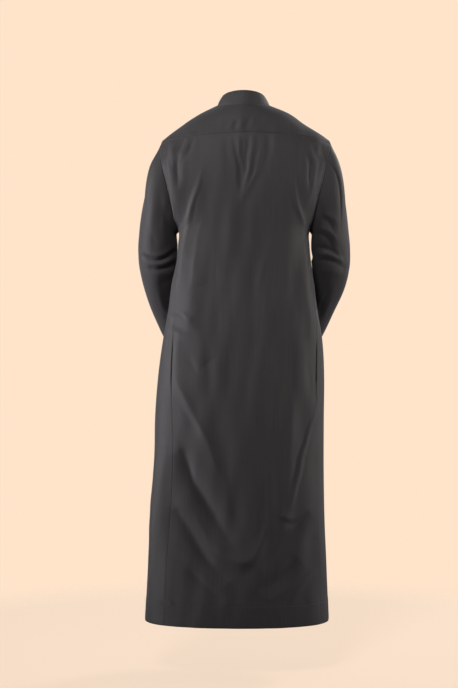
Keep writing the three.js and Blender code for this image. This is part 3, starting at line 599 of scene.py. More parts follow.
def sheet_of_cloth(name, places, outward, weave_turn=False, closed=False, thick=CLOTH_THICK):
    """A sheet laid on a grid of places, with its weave measured along it in metres."""
    rows, columns = places.shape[:2]
    across = np.linalg.norm(np.diff(places, axis=1), axis=-1)
    along = np.linalg.norm(np.diff(places, axis=0), axis=-1)
    u = np.concatenate([np.zeros((rows, 1)), np.cumsum(across, 1)], 1)
    v = np.concatenate([np.zeros((1, columns)), np.cumsum(along, 0)])
    u = u - u[:, columns // 2][:, None]
    v = np.repeat(v.mean(1)[:, None], columns, 1)
    if weave_turn:
        u, v = v, u
    cloth = bmesh.new()
    bmesh.ops.create_grid(cloth, x_segments=columns - 1, y_segments=rows - 1, size=0.5)
    weave = cloth.loops.layers.uv.new("weave")
    at = np.array([vertex.co[:2] for vertex in cloth.verts]) + 0.5
    column = np.rint(at[:, 0] * (columns - 1)).astype(int)
    row = np.rint(at[:, 1] * (rows - 1)).astype(int)
    for vertex, place in zip(cloth.verts, places[row, column]):
        vertex.co = place
    flat = np.stack([u[row, column], v[row, column]], -1)
    for face in cloth.faces:
        for loop in face.loops:
            loop[weave].uv = flat[loop.vert.index]
    cloth.normal_update()
    facing = sum(v.normal.dot(Vector(n)) for v, n in zip(cloth.verts, outward[row, column]))
    if facing < 0:
        bmesh.ops.reverse_faces(cloth, faces=cloth.faces)
    if closed:
        bmesh.ops.remove_doubles(cloth, verts=cloth.verts, dist=0.01 * MM)
    return finished(name, cloth, thick)


def finished(name, cloth, thick=0.0, material=black_suiting):
    mesh = bpy.data.meshes.new(name)
    for face in cloth.faces:
        face.smooth = True
    cloth.to_mesh(mesh)
    cloth.free()
    mesh.materials.append(material)
    piece = bpy.data.objects.new(name, mesh)
    bpy.context.scene.collection.objects.link(piece)
    if thick:
        wall = piece.modifiers.new("cloth", "SOLIDIFY")
        wall.thickness, wall.offset = thick, -1
        wall.use_rim = True
    return piece


def worn(angle, level, inset, *seams):
    """Places of a body piece, with the relief of its seams: pairs of a line and its kind."""
    places, normal = body_form(angle, level, inset)
    relief = np.zeros(places.shape[:-1])
    for line, kind in seams:
        relief += kind(near(places, line, 14 * MM)) * (inset <= 0)
    return places + normal * relief[..., None], normal


# Openings of the pockets in the side seams: their tops and feet. Then how far the edges of
# back and front stand off the form there, and how far in from the seam that reaches.
POCKET_MOUTHS = {1: (-627 * MM, -801 * MM), -1: (-643 * MM, -810 * MM)}
BACK_EDGE_GAPES = (-1.2 * MM, 7 * MM)
FRONT_EDGE_GAPES = (2.2 * MM, 11 * MM)


def gaping(places, side, lift, reach):
    """How far a side seam's edge stands off between the ends of its pocket's opening."""
    top, foot = POCKET_MOUTHS[side]
    level = places[..., 2]
    length = np.clip((level - foot) / (top - foot), 0, 1)
    open_here = np.sin(np.pi * length) ** 0.6 * (0.8 + 0.2 * np.sin(level / (11 * MM)))
    return lift * open_here * np.exp(-((near(places, side_lines[side], 30 * MM) / reach) ** 2))


def hem_relief(level, inset):
    """The turned-up hem: a ply more below its stitching, which sinks into the face."""
    ply = 0.8 * MM * (1 - eased_step(STITCHED, STITCHED + 3 * MM, level))
    sunk = -0.9 * MM * np.exp(-(((level - STITCHED + 2 * MM) / (1.6 * MM)) ** 2))
    return (ply + sunk) * (inset <= 0) * (level < STITCHED + 12 * MM) * (level > HEM_LEVEL + 3 * MM)


angle, level, inset = halves_joined(back_half(1), back_half(-1))
side_lines = {}
for side in (1, -1):
    seam_levels = np.linspace(HEM_LEVEL, UNDERARM_LEVEL, 500)
    side_lines[side] = body_form(side * seam_angle(side, seam_levels), seam_levels)[0]
places, outward = worn(
    angle, level, inset,
    *[(armhole_line(side), topstitched) for side in (1, -1)],
    *[(yoke_line(side), plain_seam) for side in (1, -1)],
    *[(line, pressed_seam) for line in side_lines.values()],
)
relief = hem_relief(level, inset)
for side in (1, -1):
    relief += gaping(places, side, *BACK_EDGE_GAPES) * (places[..., 0] * side > 0)
places += outward * relief[..., None]
back_panel = sheet_of_cloth("back_cloth", places, outward)
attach(back_panel, "root")
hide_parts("back_panel")

# ---------------------------------------------------------------------------------------
# Back yoke, one piece over both shoulders from the back seam to a seam on the chest. The
# back is gathered a little under it, and its edge is topstitched through all plies.
YOKE_NECK_END = math.radians(118)
YOKE_ROWS = steps(0, 0.008, 0.096, 0.042, 0.96, 0.01, 1)


def yoke_half(side):
    over = YOKE_BACK_END + (-YOKE_FRONT_END - YOKE_BACK_END) * np.linspace(0, 1, 29)[1:]
    seam = np.stack(yoke_seam(np.linspace(0, 1, 61)))
    outer = np.concatenate([seam, np.stack(armhole_place(over))], 1)
    neck = np.stack([YOKE_NECK_END * np.linspace(0, 1, outer.shape[1]), np.zeros(outer.shape[1])])
    t = YOKE_ROWS[:, None]
    angle, level = (outer[k] * (1 - t) + neck[k] * t for k in range(2))
    return side * angle, level


angle, level = halves_joined(yoke_half(1), yoke_half(-1))
neck_turns = np.linspace(-math.pi, math.pi, 400)
neck_line = body_form(neck_turns, 0 * neck_turns)[0]


def yoke_front_line(side):
    end = armhole_place(np.array(-YOKE_FRONT_END))
    t = np.linspace(0, 1, 120)
    return body_form(side * (YOKE_NECK_END + (end[0] - YOKE_NECK_END) * t), end[1] * t)[0]


places, outward = worn(
    angle, level, 0 * level,
    *[(yoke_line(side), topstitched) for side in (1, -1)],
    *[(armhole_line(side), topstitched) for side in (1, -1)],
    *[(yoke_front_line(side), topstitched) for side in (1, -1)],
    (neck_line, plain_seam),
)
back_yoke = sheet_of_cloth("yoke_cloth", places, outward)
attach(back_yoke, "root")
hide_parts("back_yoke")

# ---------------------------------------------------------------------------------------
# Front, one piece from the neckline and the yoke to the hem, slit down the chest. It runs
# round both sides to the side seams, which lie behind, and its hem is turned up inside.
PLACKET_HALF = 17 * MM
SLIT_HALF = 1 * MM
NECK_SHARE = 7 / 12
FRONT_HALF = steps(0, 0.0155, 0.955, 0.0085, 0.972, 0.006, 0.994, 0.003, 1)
yoke_front_end = [float(v) for v in armhole_place(np.array(-YOKE_FRONT_END))]


def front_angle(x, level):
    width = between(BODY, level, LEFT)
    return np.pi - np.arcsin((x / width) ** (between(BODY, level, SQUARE_FRONT) / 2))


def front_top(s):
    start = float(front_angle(PLACKET_HALF, np.array(0.0)))
    on_neck = np.clip(s / NECK_SHARE, 0, 1)
    on_yoke = np.clip((s - NECK_SHARE) / (1 - NECK_SHARE), 0, 1)
    angle = start + (YOKE_NECK_END - start) * on_neck + (yoke_front_end[0] - YOKE_NECK_END) * on_yoke
    return angle, yoke_front_end[1] * on_yoke


def front_half(side):
    s, level = np.meshgrid(FRONT_HALF, lower_levels)
    inset = np.meshgrid(FRONT_HALF, lower_insets)[1]
    inner = front_angle(PLACKET_HALF, level)
    angle = inner + (seam_angle(side, level) - inner) * s
    t = rising(0.985)[1:]
    upper_s, upper_t = np.meshgrid(FRONT_HALF, t)
    outer_level = UNDERARM_LEVEL + (yoke_front_end[1] - UNDERARM_LEVEL) * upper_t
    outer = armhole_place(-armhole_turns(outer_level))
    inner_level = UNDERARM_LEVEL * (1 - upper_t)
    middle = (front_angle(PLACKET_HALF, inner_level), inner_level)
    low = float(front_angle(PLACKET_HALF, np.array(UNDERARM_LEVEL)))
    bottom = lambda s: (low + (np.pi / 2 - low) * s, UNDERARM_LEVEL + 0 * s)
    angle_up, level_up = patch(bottom, front_top, middle, outer, upper_s, upper_t)
    angle = np.concatenate([angle, angle_up])
    level = np.concatenate([level, level_up])
    inset = np.concatenate([inset, 0 * angle_up])
    strip = front_angle(SLIT_HALF + (PLACKET_HALF - SLIT_HALF) * np.linspace(0, 1, 5)[:-1], level[:, :1])
    angle = np.concatenate([strip, angle], 1)
    level = np.concatenate([np.repeat(level[:, :1], 4, 1), level], 1)
    inset = np.concatenate([np.repeat(inset[:, :1], 4, 1), inset], 1)
    if side < 0:
        angle = 2 * np.pi - angle
    return angle, level, inset


left, right = front_half(1), front_half(-1)
angle, level, inset = (np.concatenate([l[:, ::-1], r], axis=1) for l, r in zip(left, right))
places, outward = worn(
    angle, level, inset,
    *[(armhole_line(side), topstitched) for side in (1, -1)],
    *[(yoke_front_line(side), plain_seam) for side in (1, -1)],
    *[(line, plain_seam) for line in side_lines.values()],
    (neck_line, plain_seam),
)
relief = hem_relief(level, inset)
for side in (1, -1):
    relief += gaping(places, side, *FRONT_EDGE_GAPES) * (places[..., 0] * side > 0)
places += outward * relief[..., None]
front_panel = sheet_of_cloth("front_cloth", places, outward)
slit = bmesh.new()
slit.from_mesh(front_panel.data)
cut = [
    f for f in slit.faces
    if f.calc_center_median().y < 0 and abs(f.calc_center_median().x) < 0.6 * MM
    and f.calc_center_median().z > UNDERARM_LEVEL + 12 * MM
]
bmesh.ops.delete(slit, geom=cut, context="FACES")
slit.to_mesh(front_panel.data)
slit.free()
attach(front_panel, "root")
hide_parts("front_panel")

# ---------------------------------------------------------------------------------------
# Placket, a doubled strip over the chest slit from the neckline down, topstitched along
# both edges and boxed across its foot.
PLACKET_FOOT = -352 * MM
PLACKET_RAISED = 2.3 * MM
PLACKET_EDGE = 1.4 * MM
PLACKET_STITCH = 4 * MM
PLACKET_BOX = 24 * MM
strip_x = steps(
    -PLACKET_HALF, 0.7 * MM, PLACKET_EDGE - PLACKET_HALF, 1.7 * MM, PLACKET_HALF - PLACKET_EDGE,
    0.7 * MM, PLACKET_HALF,
)
strip_level = steps(PLACKET_FOOT, 0.7 * MM, PLACKET_FOOT + PLACKET_EDGE, 3.2 * MM, -2.4 * MM)
x, level = np.meshgrid(strip_x, strip_level)
angle = np.where(x >= 0, front_angle(np.abs(x), level), 2 * np.pi - front_angle(np.abs(x), level))
places, outward = body_form(angle, level)
edge = np.minimum(PLACKET_HALF - np.abs(x), level - PLACKET_FOOT)
rolled = 0.9 * MM * np.exp(-((edge / (1.1 * MM)) ** 2))
sunk = 0.3 * MM * np.exp(-(((edge - PLACKET_STITCH) / MM) ** 2))
places += outward * (PLACKET_RAISED - rolled - sunk)[..., None]
placket = sheet_of_cloth("placket_cloth", places, outward, thick=1.4 * MM)
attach(placket, "root")
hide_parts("placket")

# ---------------------------------------------------------------------------------------
# Stand collar, one stiffened band round the neck, edge-stitched along its top and foot. Its
# left end laps over its right end in front.
COLLAR_TOP_HALF = 61 * MM
COLLAR_TOP_BACK, COLLAR_TOP_FRONT = 57 * MM, 66 * MM
COLLAR_SIDE_LEVEL, COLLAR_BACK_RISE, COLLAR_BACK_ROUND = 19 * MM, 24 * MM, 0.8
COLLAR_FRONT_DROP = 30 * MM
COLLAR_BULGE = 1.5 * MM
COLLAR_THICK = 2.2 * MM
COLLAR_TALL, COLLAR_STITCH = 42 * MM, 4.5 * MM
FOOT_OUT, FOOT_DOWN = 0.9 * MM, 1.2 * MM
COLLAR_LAP = math.pi - float(front_angle(PLACKET_HALF, np.array(0.0)))
COLLAR_BLEND = math.radians(26)


def collar_form(angle, t):
    sin, cos = np.sin(angle), np.cos(angle)
    foot = np.stack([sin * FOOT_OUT, cos * FOOT_OUT, 0 * sin - FOOT_DOWN], -1)
    base = body_form(angle, 0 * angle)[0] + foot
    reach = np.where(cos >= 0, COLLAR_TOP_BACK, COLLAR_TOP_FRONT)
    rise = np.where(cos >= 0, COLLAR_BACK_RISE * np.abs(cos) ** COLLAR_BACK_ROUND, COLLAR_FRONT_DROP * cos)
    top = np.stack([COLLAR_TOP_HALF * sin, reach * cos, COLLAR_SIDE_LEVEL + rise], -1)
    lapped = eased_step(np.pi - COLLAR_LAP - COLLAR_BLEND, np.pi - COLLAR_LAP, np.abs(angle))
    layer = np.sign(angle) * lapped * 1.55 * MM
    out = np.stack([sin, cos, 0 * sin], -1)
    bulge = COLLAR_BULGE * 4 * t * (1 - t)
    return base * (1 - t[..., None]) + top * t[..., None] + out * (layer + bulge)[..., None], out


round_neck = steps(-math.pi - COLLAR_LAP, 0.02, math.pi + COLLAR_LAP)
up_collar = steps(0, 0.02, 0.06, 0.035, 0.165, 0.05, 0.815, 0.035, 0.92, 0.02, 1)
angle, t = np.meshgrid(round_neck, up_collar)
places, outward = collar_form(angle, t)
from_edge = np.minimum(t, 1 - t) * COLLAR_TALL
sunk = 0.4 * MM * np.exp(-(((from_edge - COLLAR_STITCH) / (1.1 * MM)) ** 2))
rolled = 0.7 * MM * np.exp(-((from_edge / (0.9 * MM)) ** 2))
ripple = 0.12 * MM * np.sin(angle * 23 + 3 * t) * np.sin(angle * 9.1 + 1)
places += outward * (ripple - sunk - rolled)[..., None]
collar_band = sheet_of_cloth("collar_cloth", places, outward, thick=COLLAR_THICK)
rounded = collar_band.modifiers.new("rolled_edges", "BEVEL")
rounded.width, rounded.segments, rounded.limit_method = 0.7 * MM, 3, "ANGLE"
rounded.angle_limit = math.radians(60)
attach(collar_band, "root")
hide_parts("collar_band")

# ---------------------------------------------------------------------------------------
# Sleeves, set into the armholes and sewn along the underside, with the arms brought
# forward. Each bends at the elbow, and its end is turned up inside and stitched.
PLACE, ARM_LEFT, ARM_RIGHT, ARM_Y, ARM_LEVEL, ARM_ACROSS, ARM_DEEP = range(7)
ARM = np.array([
    (0, 238, 242, -10, -352, 52, 63), (1, 240, 245, -20, -392, 53, 61),
    (2, 238, 245, -36, -440, 52.5, 59), (3, 230, 235, -66, -498, 49, 56),
    (4, 210, 210, -106, -560, 48, 53), (5, 190, 189, -142, -612, 47, 51),
    (6, 167, 167, -174, -660, 46, 49),
]) * ([1] + [MM] * 6)
CAP_TOP, CAP_BOTTOM, CAP_SIDE = np.array([(0.4, 0, -0.92), (0.62, 0, -0.78), (0.55, 0, -0.83)])
CAP_BULGE, CAP_PULL = 0.18, 0.85
CUFF_HEM = 30 * MM
WRIST = 6
ARM_STEP = 60 * MM

# Fullness on a sleeve's inner side, above and below the elbow: level, spread, how far out.
INNER_SWELLS = {1: [(-378, 26, 3.6), (-442, 26, 6.5)], -1: [(-378, 26, 3.0), (-442, 26, 2.0)]}

# Folds of a sleeve seen from behind, with x towards the body's outside: the left sleeve's,
# then the right's. The same table, turned, serves the front of the other sleeve.
SLEEVE_FOLDS = {
    1: [
        (276, -414, 188, -398, -16, 5, 6, -11.0),
        (268, -404, 198, -386, -14, 6, 5, 6.0),
        (266, -446, 186, -432, -7, 4, 6, -10.0),
        (256, -432, 192, -414, -8, 4, 4, 6.4),
        (250, -462, 190, -448, -4, 6, 6, 2.4),
        (238, -490, 190, -466, -4, 5, 6, -2.6),
        (230, -200, 226, -330, 4, 12, 12, -2.4),
        (252, -240, 256, -380, 0, 14, 14, 2.0),
        (266, -330, 240, -400, 6, 9, 8, -2.2),
        (222, -300, 214, -390, 0, 8, 8, 2.2),
        (206, -270, 202, -350, 0, 8, 8, -2.6),
        (244, -500, 214, -600, 0, 8, 9, 2.6),
        (224, -510, 196, -580, 0, 7, 8, -2.6),
        (234, -552, 206, -600, 0, 6, 6, -1.8),
        (200, -560, 176, -640, 0, 9, 9, 2.2),
    ],
    -1: [
        (-196, -236, -214, -330, -4, 4, 7, 3.4),
        (-206, -240, -222, -330, 0, 6, 5, -2.6),
        (-213, -303, -246, -350, 6, 6, 7, -5.0),
        (-220, -296, -258, -322, 4, 6, 5, 2.8),
        (-204, -345, -250, -400, 7, 5, 6, -5.4),
        (-206, -330, -258, -372, 6, 5, 5, 4.2),
        (-200, -385, -272, -424, 8, 5, 6, -6.4),
        (-204, -402, -282, -432, 7, 5, 5, 5.0),
        (-208, -420, -282, -450, 6, 5, 5, -5.4),
        (-214, -450, -276, -470, 5, 6, 6, 2.4),
        (-250, -200, -262, -330, 0, 14, 14, 2.0),
        (-270, -380, -282, -440, 0, 7, 7, -2.0),
        (-236, -490, -206, -600, 0, 8, 8, -2.8),
        (-252, -500, -224, -600, 0, 8, 8, 2.4),
        (-206, -545, -180, -640, 0, 9, 9, 2.2),
    ],
}
round_arm = math.pi - steps(0, 0.012, 0.036, 0.05, 2 * math.pi - 0.036, 0.012, 2 * math.pi)


def arm_ring(side, at):
    """One ring of a sleeve across the arm, and the way out from its middle."""
    def middle(t):
        column = lambda name: float(between(ARM, np.array(float(t)), name))
        aside = column(ARM_LEFT if side > 0 else ARM_RIGHT)
        return np.array([side * aside, column(ARM_Y), column(ARM_LEVEL)])

    axis = middle(min(at + 0.05, WRIST)) - middle(max(at - 0.05, 0))
    axis /= np.linalg.norm(axis)
    back = np.array([0, 1, 0]) - axis * axis[1]
    back /= np.linalg.norm(back)
    out = np.cross(axis, back) * side
    across = float(between(ARM, np.array(float(at)), ARM_ACROSS))
    deep = float(between(ARM, np.array(float(at)), ARM_DEEP))
    away = np.cos(round_arm)[:, None] * out * across + np.sin(round_arm)[:, None] * back * deep
    return middle(at) + away


def sleeve_form(side):
    """Rows of places from the armhole to the end of the sleeve."""
    angle, level = armhole_place(round_arm)
    seam = body_form(side * angle, level)[0]
    seam[0] = seam[-1] = (seam[0] + seam[-1]) / 2
    ahead = np.roll(seam[:-1], -1, 0)
    tangent = ahead - np.roll(seam[:-1], 1, 0)
    tangent = np.concatenate([tangent, tangent[:1]])
    tangent /= np.linalg.norm(tangent, axis=-1, keepdims=True)
    up = np.cos(round_arm)[:, None]
    leave = CAP_SIDE + (np.where(up > 0, CAP_TOP, CAP_BOTTOM) - CAP_SIDE) * np.abs(up)
    leave = leave + np.stack([0 * up[:, 0], CAP_BULGE * np.sin(round_arm), 0 * up[:, 0]], -1)
    leave *= (side, 1, 1)
    leave -= tangent * (leave * tangent).sum(-1, keepdims=True)
    leave /= np.linalg.norm(leave, axis=-1, keepdims=True)
    biceps = arm_ring(side, 0)
    arrive = arm_ring(side, 0.2) - biceps
    arrive /= np.linalg.norm(arrive, axis=-1, keepdims=True)
    pull = CAP_PULL * np.linalg.norm(biceps - seam, axis=-1, keepdims=True)
    rows = []
    for t in steps(0, 0.006, 0.03, 0.028, 1)[:-1]:
        ease = t * t * (3 - 2 * t)
        eased = seam + (biceps - seam) * ease
        rows.append(eased + leave * pull * t * (1 - t) ** 2 + arrive * pull * t * t * (t - 1))
    cuff = WRIST - CUFF_HEM / ARM_STEP
    down_arm = steps(0, 0.085, cuff - 0.08, 0.02, cuff + 0.06, 0.085, WRIST - 0.03)
    rows += [arm_ring(side, at) for at in down_arm]
    last = rows[-1]
    end = arm_ring(side, WRIST)
    return np.array(rows + [last + (end - last) * 0.8, end]), seam


def sleeve_normals(rows, side):
    down = np.gradient(rows, axis=0)
    wrapped = np.concatenate([rows[:, -2:-1], rows, rows[:, 1:2]], 1)
    around = (wrapped[:, 2:] - wrapped[:, :-2]) / 2
    normal = np.cross(around, down) * side
    return normal / np.maximum(np.linalg.norm(normal, axis=-1, keepdims=True), 1e-9)


sleeves = {}
for side in (1, -1):
    rows, seam = sleeve_form(side)
    normal = sleeve_normals(rows, side)
    if (normal[40] * (rows[40] - rows[40].mean(0))).sum() < 0:
        normal = -normal
    x, z = rows[..., 0], rows[..., 2]
    behind = eased_step(-0.25, 0.35, np.sin(round_arm))[None]
    own = fold_lift(SLEEVE_FOLDS[side], x, z)
    other = fold_lift(SLEEVE_FOLDS[-side], -x - side * 6 * MM, z + 9 * MM)
    from_seam = np.linalg.norm(rows - seam[None], axis=-1)
    calm = eased_step(2 * MM, 45 * MM, from_seam)
    lift = (own * behind + 0.8 * other * (1 - behind) + 0.5 * slack_lift(x, z)) * calm
    inner_side = np.clip(-np.cos(round_arm), 0, 1)[None] ** 2
    for place, spread, out in INNER_SWELLS[side]:
        lift += out * MM * inner_side * np.exp(-0.5 * ((z / MM - place) / spread) ** 2) * calm
    lift -= 0.9 * MM * np.exp(-((from_seam / (1.5 * MM)) ** 2))
    underside = np.abs(np.abs(round_arm) - math.pi)[None] * 50 * MM
    lift -= 0.6 * MM * np.exp(-((underside / (1.4 * MM)) ** 2)) * calm
    last = rows[-1]
    from_end = np.linalg.norm(rows - last[None], axis=-1)
    lift += 0.45 * MM * (1 - eased_step(CUFF_HEM, CUFF_HEM + 2.5 * MM, from_end))
    lift -= 0.45 * MM * np.exp(-(((from_end - CUFF_HEM + 1.5 * MM) / (1.2 * MM)) ** 2))
    outer = rows + normal * lift[..., None]
    # The end is turned up inside.
    down = outer[-1] - outer[-4]
    down /= np.linalg.norm(down, axis=-1, keepdims=True)
    turned = [
        outer[-1] - normal[-1] * share * HEM_INSIDE + down * drop * MM
        for share, drop in ((0.18, 0.5), (0.45, 0.7), (0.72, 0.5), (0.95, 0.0))
    ]
    inside = outer[-1] - normal[-1] * HEM_INSIDE
    turned += [inside - down * back for back in steps(3 * MM, 5 * MM, CUFF_HEM)]
    # Its turnings at the armhole lie inside the body.
    onward = outer[0] - outer[2]
    onward /= np.linalg.norm(onward, axis=-1, keepdims=True)
    tucked = outer[0] + onward * 3 * MM - normal[0] * 1.3 * MM
    places = np.concatenate([[tucked], outer, turned])
    outward = np.concatenate([0 * normal[:1], normal, np.zeros((len(turned),) + normal.shape[1:])])
    name = "left" if side > 0 else "right"
    sleeve = sheet_of_cloth("sleeve_cloth_" + name, places, outward, closed=True)
    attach(sleeve, "root")
    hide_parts("sleeve_" + name)
    sleeves[side] = (sleeve, outer)

# ---------------------------------------------------------------------------------------
# Pocket bags, two plies of thin pocketing pressed flat as one wall and hung inside the front,
# beside the openings in the side seams.
POCKET_BLACK, POCKET_WORN = (0.022, 0.022, 0.023, 1), (0.03, 0.03, 0.031, 1)
POCKET_TOP, POCKET_FOOT = -606 * MM, -908 * MM
POCKET_INSIDE = 3.0 * MM
POCKET_SHARE = 0.70
pocketing = suiting("black_pocketing", POCKET_BLACK, POCKET_WORN, 0.6)
for side in (1, -1):
    s, level = np.meshgrid(np.linspace(1, POCKET_SHARE, 26), np.linspace(POCKET_FOOT, POCKET_TOP, 60))
    inner = front_angle(PLACKET_HALF, level)
    cut_back = 0.12 * eased_step(-850 * MM, POCKET_FOOT, level)
    angle = inner + (seam_angle(side, level) - inner) * (1 - (1 - s) * (1 - cut_back) - 0.006)
    angle = angle if side > 0 else 2 * np.pi - angle
    places, outward = body_form(angle, level)
    from_side = np.minimum(1 - s, s - POCKET_SHARE) * 420 * MM
    rim = np.minimum(from_side, np.minimum(level - POCKET_FOOT, POCKET_TOP - level))
    puffed = 0.5 * MM * eased_step(0, 18 * MM, rim)
    sunk = 0.25 * MM * np.exp(-(((rim - 8 * MM) / (1.5 * MM)) ** 2))
    places += outward * (puffed - sunk - POCKET_INSIDE)[..., None]
    name = "left" if side > 0 else "right"
    bag = sheet_of_cloth("pocket_bag_" + name, places, outward, thick=1.0 * MM)
    bag.data.materials[0] = pocketing
    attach(bag, "root")
    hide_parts("pocket_" + name)

# ---------------------------------------------------------------------------------------
# Stitching in black thread: the topstitching of yoke, armholes, placket and collar, the hem
# and the cuffs, and a bartack at each end of the pockets' openings.
thread_black = bpy.data.materials.new("thread_black")
thread_black.use_nodes = True
strand = thread_black.node_tree.nodes["Principled BSDF"]
strand.inputs["Base Color"].default_value = (0.020, 0.020, 0.021, 1)
strand.inputs["Roughness"].default_value = 0.5
STITCH_STEP = 0.8 * MM
STITCHES = np.array([0.08, 0.14, 0.08, -0.3]) * MM
ON_TOP = np.array([0.14]) * MM
up = np.array([0.0, 0.0, 1.0])


def tube(mesh, centres, ways_out, radius, sides=5):
    """A thread through places, added to a mesh under way."""
    along = np.gradient(centres, axis=0)
    aside = np.cross(along, ways_out)
    aside /= np.maximum(np.linalg.norm(aside, axis=-1, keepdims=True), 1e-9)
    round_it = np.linspace(0, 2 * np.pi, sides + 1)
    rings = centres[:, None] + radius * (
        np.cos(round_it)[None, :, None] * aside[:, None] + np.sin(round_it)[None, :, None] * ways_out[:, None]
    )
    made = bmesh.ops.create_grid(mesh, x_segments=sides, y_segments=len(centres) - 1, size=0.5)["verts"]
    for vertex in made:
        column = round((vertex.co.x + 0.5) * sides)
        row = round((vertex.co.y + 0.5) * (len(centres) - 1))
        vertex.co = rings[row, column]


def on_face(pieces, points):
    """The nearest places on the faces of pieces, and the ways out of them."""
    places, ways = [], []
    for point in points:
        hits = [piece.closest_point_on_mesh(Vector(point)) for piece in pieces]
        hit = min(hits, key=lambda found: (found[1] - Vector(point)).length)
        places.append(hit[1])
        ways.append(hit[2])
    return np.array(places), np.array(ways)


def sewn(pieces, line, towards=up, aside=0.0, heights=STITCHES, radius=0.17 * MM, step=STITCH_STEP):
    """A row of stitches along a line, moved aside over the cloth."""
    line, towards = np.asarray(line), np.broadcast_to(towards, np.shape(line))
    run = np.concatenate([[0], np.cumsum(np.linalg.norm(np.diff(line, axis=0), axis=-1))])
    at = np.arange(0, run[-1], step)
    line, towards = (
        np.stack([np.interp(at, run, part[:, k]) for k in range(3)], -1) for part in (line, towards)
    )
    if aside:
        places, ways = on_face(pieces, line)
        along = np.gradient(places, axis=0)
        along /= np.linalg.norm(along, axis=-1, keepdims=True)
        across = towards - along * (towards * along).sum(-1, keepdims=True)
        across -= ways * (across * ways).sum(-1, keepdims=True)
        line = places + across / np.linalg.norm(across, axis=-1, keepdims=True) * aside
    places, ways = on_face(pieces, line)
    lift = heights[np.arange(len(places)) % len(heights)]
    tube(thread, places + ways * lift[:, None], ways, radius)


thread = bmesh.new()
body_pieces = [back_panel, back_yoke, front_panel]
sewn([back_yoke], np.concatenate([yoke_line(-1)[::-1], yoke_line(1)[1:]]), up, TOPSTITCH)
hem_angles = np.linspace(0, 2 * np.pi, 1400)
sewn([back_panel, front_panel], body_form(hem_angles, 0 * hem_angles + STITCHED - 2 * MM)[0])
for side in (1, -1):
    line = armhole_line(side)
    sewn(body_pieces, line, line - line.mean(0), TOPSTITCH)
    sewn([back_yoke], yoke_front_line(side), (0, 1, 0.5), TOPSTITCH)
    sleeve, outer = sleeves[side]
    ring = np.linalg.norm(outer - outer[-1:], axis=-1).mean(1)
    sewn([sleeve], outer[np.abs(ring - CUFF_HEM + 1.5 * MM).argmin()])
    levels = np.linspace(PLACKET_FOOT + PLACKET_STITCH, -6 * MM, 300)
    edge = front_angle(PLACKET_HALF - PLACKET_STITCH, levels)
    sewn([placket], body_form(edge if side > 0 else 2 * np.pi - edge, levels)[0])
    top, foot = POCKET_MOUTHS[side]
    levels = np.linspace(foot - 4 * MM, top + 4 * MM, 200)
    sewn([front_panel], body_form(side * seam_angle(side, levels), levels)[0], (side, -1, 0), 5 * MM)
    for end in (top + 4 * MM, foot - 4 * MM):
        across = side * seam_angle(side, np.full(20, end)) + side * np.linspace(-1, 9, 20) * MM / 0.2
        bar = body_form(np.repeat(across, 2), end + np.tile((-0.9, 0.9), 20) * MM)[0]
        sewn(body_pieces, bar, heights=ON_TOP, radius=0.28 * MM, step=0.45 * MM)
for share in (COLLAR_STITCH / COLLAR_TALL, 1 - COLLAR_STITCH / COLLAR_TALL):
    turns = np.linspace(-math.pi - COLLAR_LAP, math.pi + COLLAR_LAP, 600)
    sewn([collar_band], collar_form(turns, 0 * turns + share)[0])
for level in (PLACKET_FOOT + PLACKET_STITCH, PLACKET_FOOT + PLACKET_BOX):
    x = np.linspace(-1, 1, 40) * (PLACKET_HALF - PLACKET_STITCH)
    edge = front_angle(np.abs(x), np.full(40, level))
    sewn([placket], body_form(np.where(x >= 0, edge, 2 * np.pi - edge), np.full(40, level))[0])

# ---------------------------------------------------------------------------------------
# Buttons, five of polished black plastic with a raised rim and four holes. Each sits over a
# worked buttonhole and is sewn on with two bars of thread.
button_black = bpy.data.materials.new("button_black")
button_black.use_nodes = True
plastic = button_black.node_tree.nodes["Principled BSDF"]
plastic.inputs["Base Color"].default_value = (0.016, 0.016, 0.017, 1)
plastic.inputs["Roughness"].default_value = 0.22
plastic.inputs["Coat Weight"].default_value = 0.4
BUTTON_LEVELS = np.array([-72, -138, -204, -270]) * MM
# From the middle of the face out over the rim and under: radius and height, and hole places.
BUTTON_FORM = np.array([
    (0, 1.75), (3.2, 1.75), (3.7, 1.9), (4.2, 2.3), (4.7, 2.4), (5.2, 2.2), (5.5, 1.8), (5.6, 1.3),
    (5.5, 0.7), (5.2, 0.2), (4.6, 0.0), (0, 0),
])
HOLES = [(1.05, 1.05), (-1.05, 1.05), (-1.05, -1.05), (1.05, -1.05)]


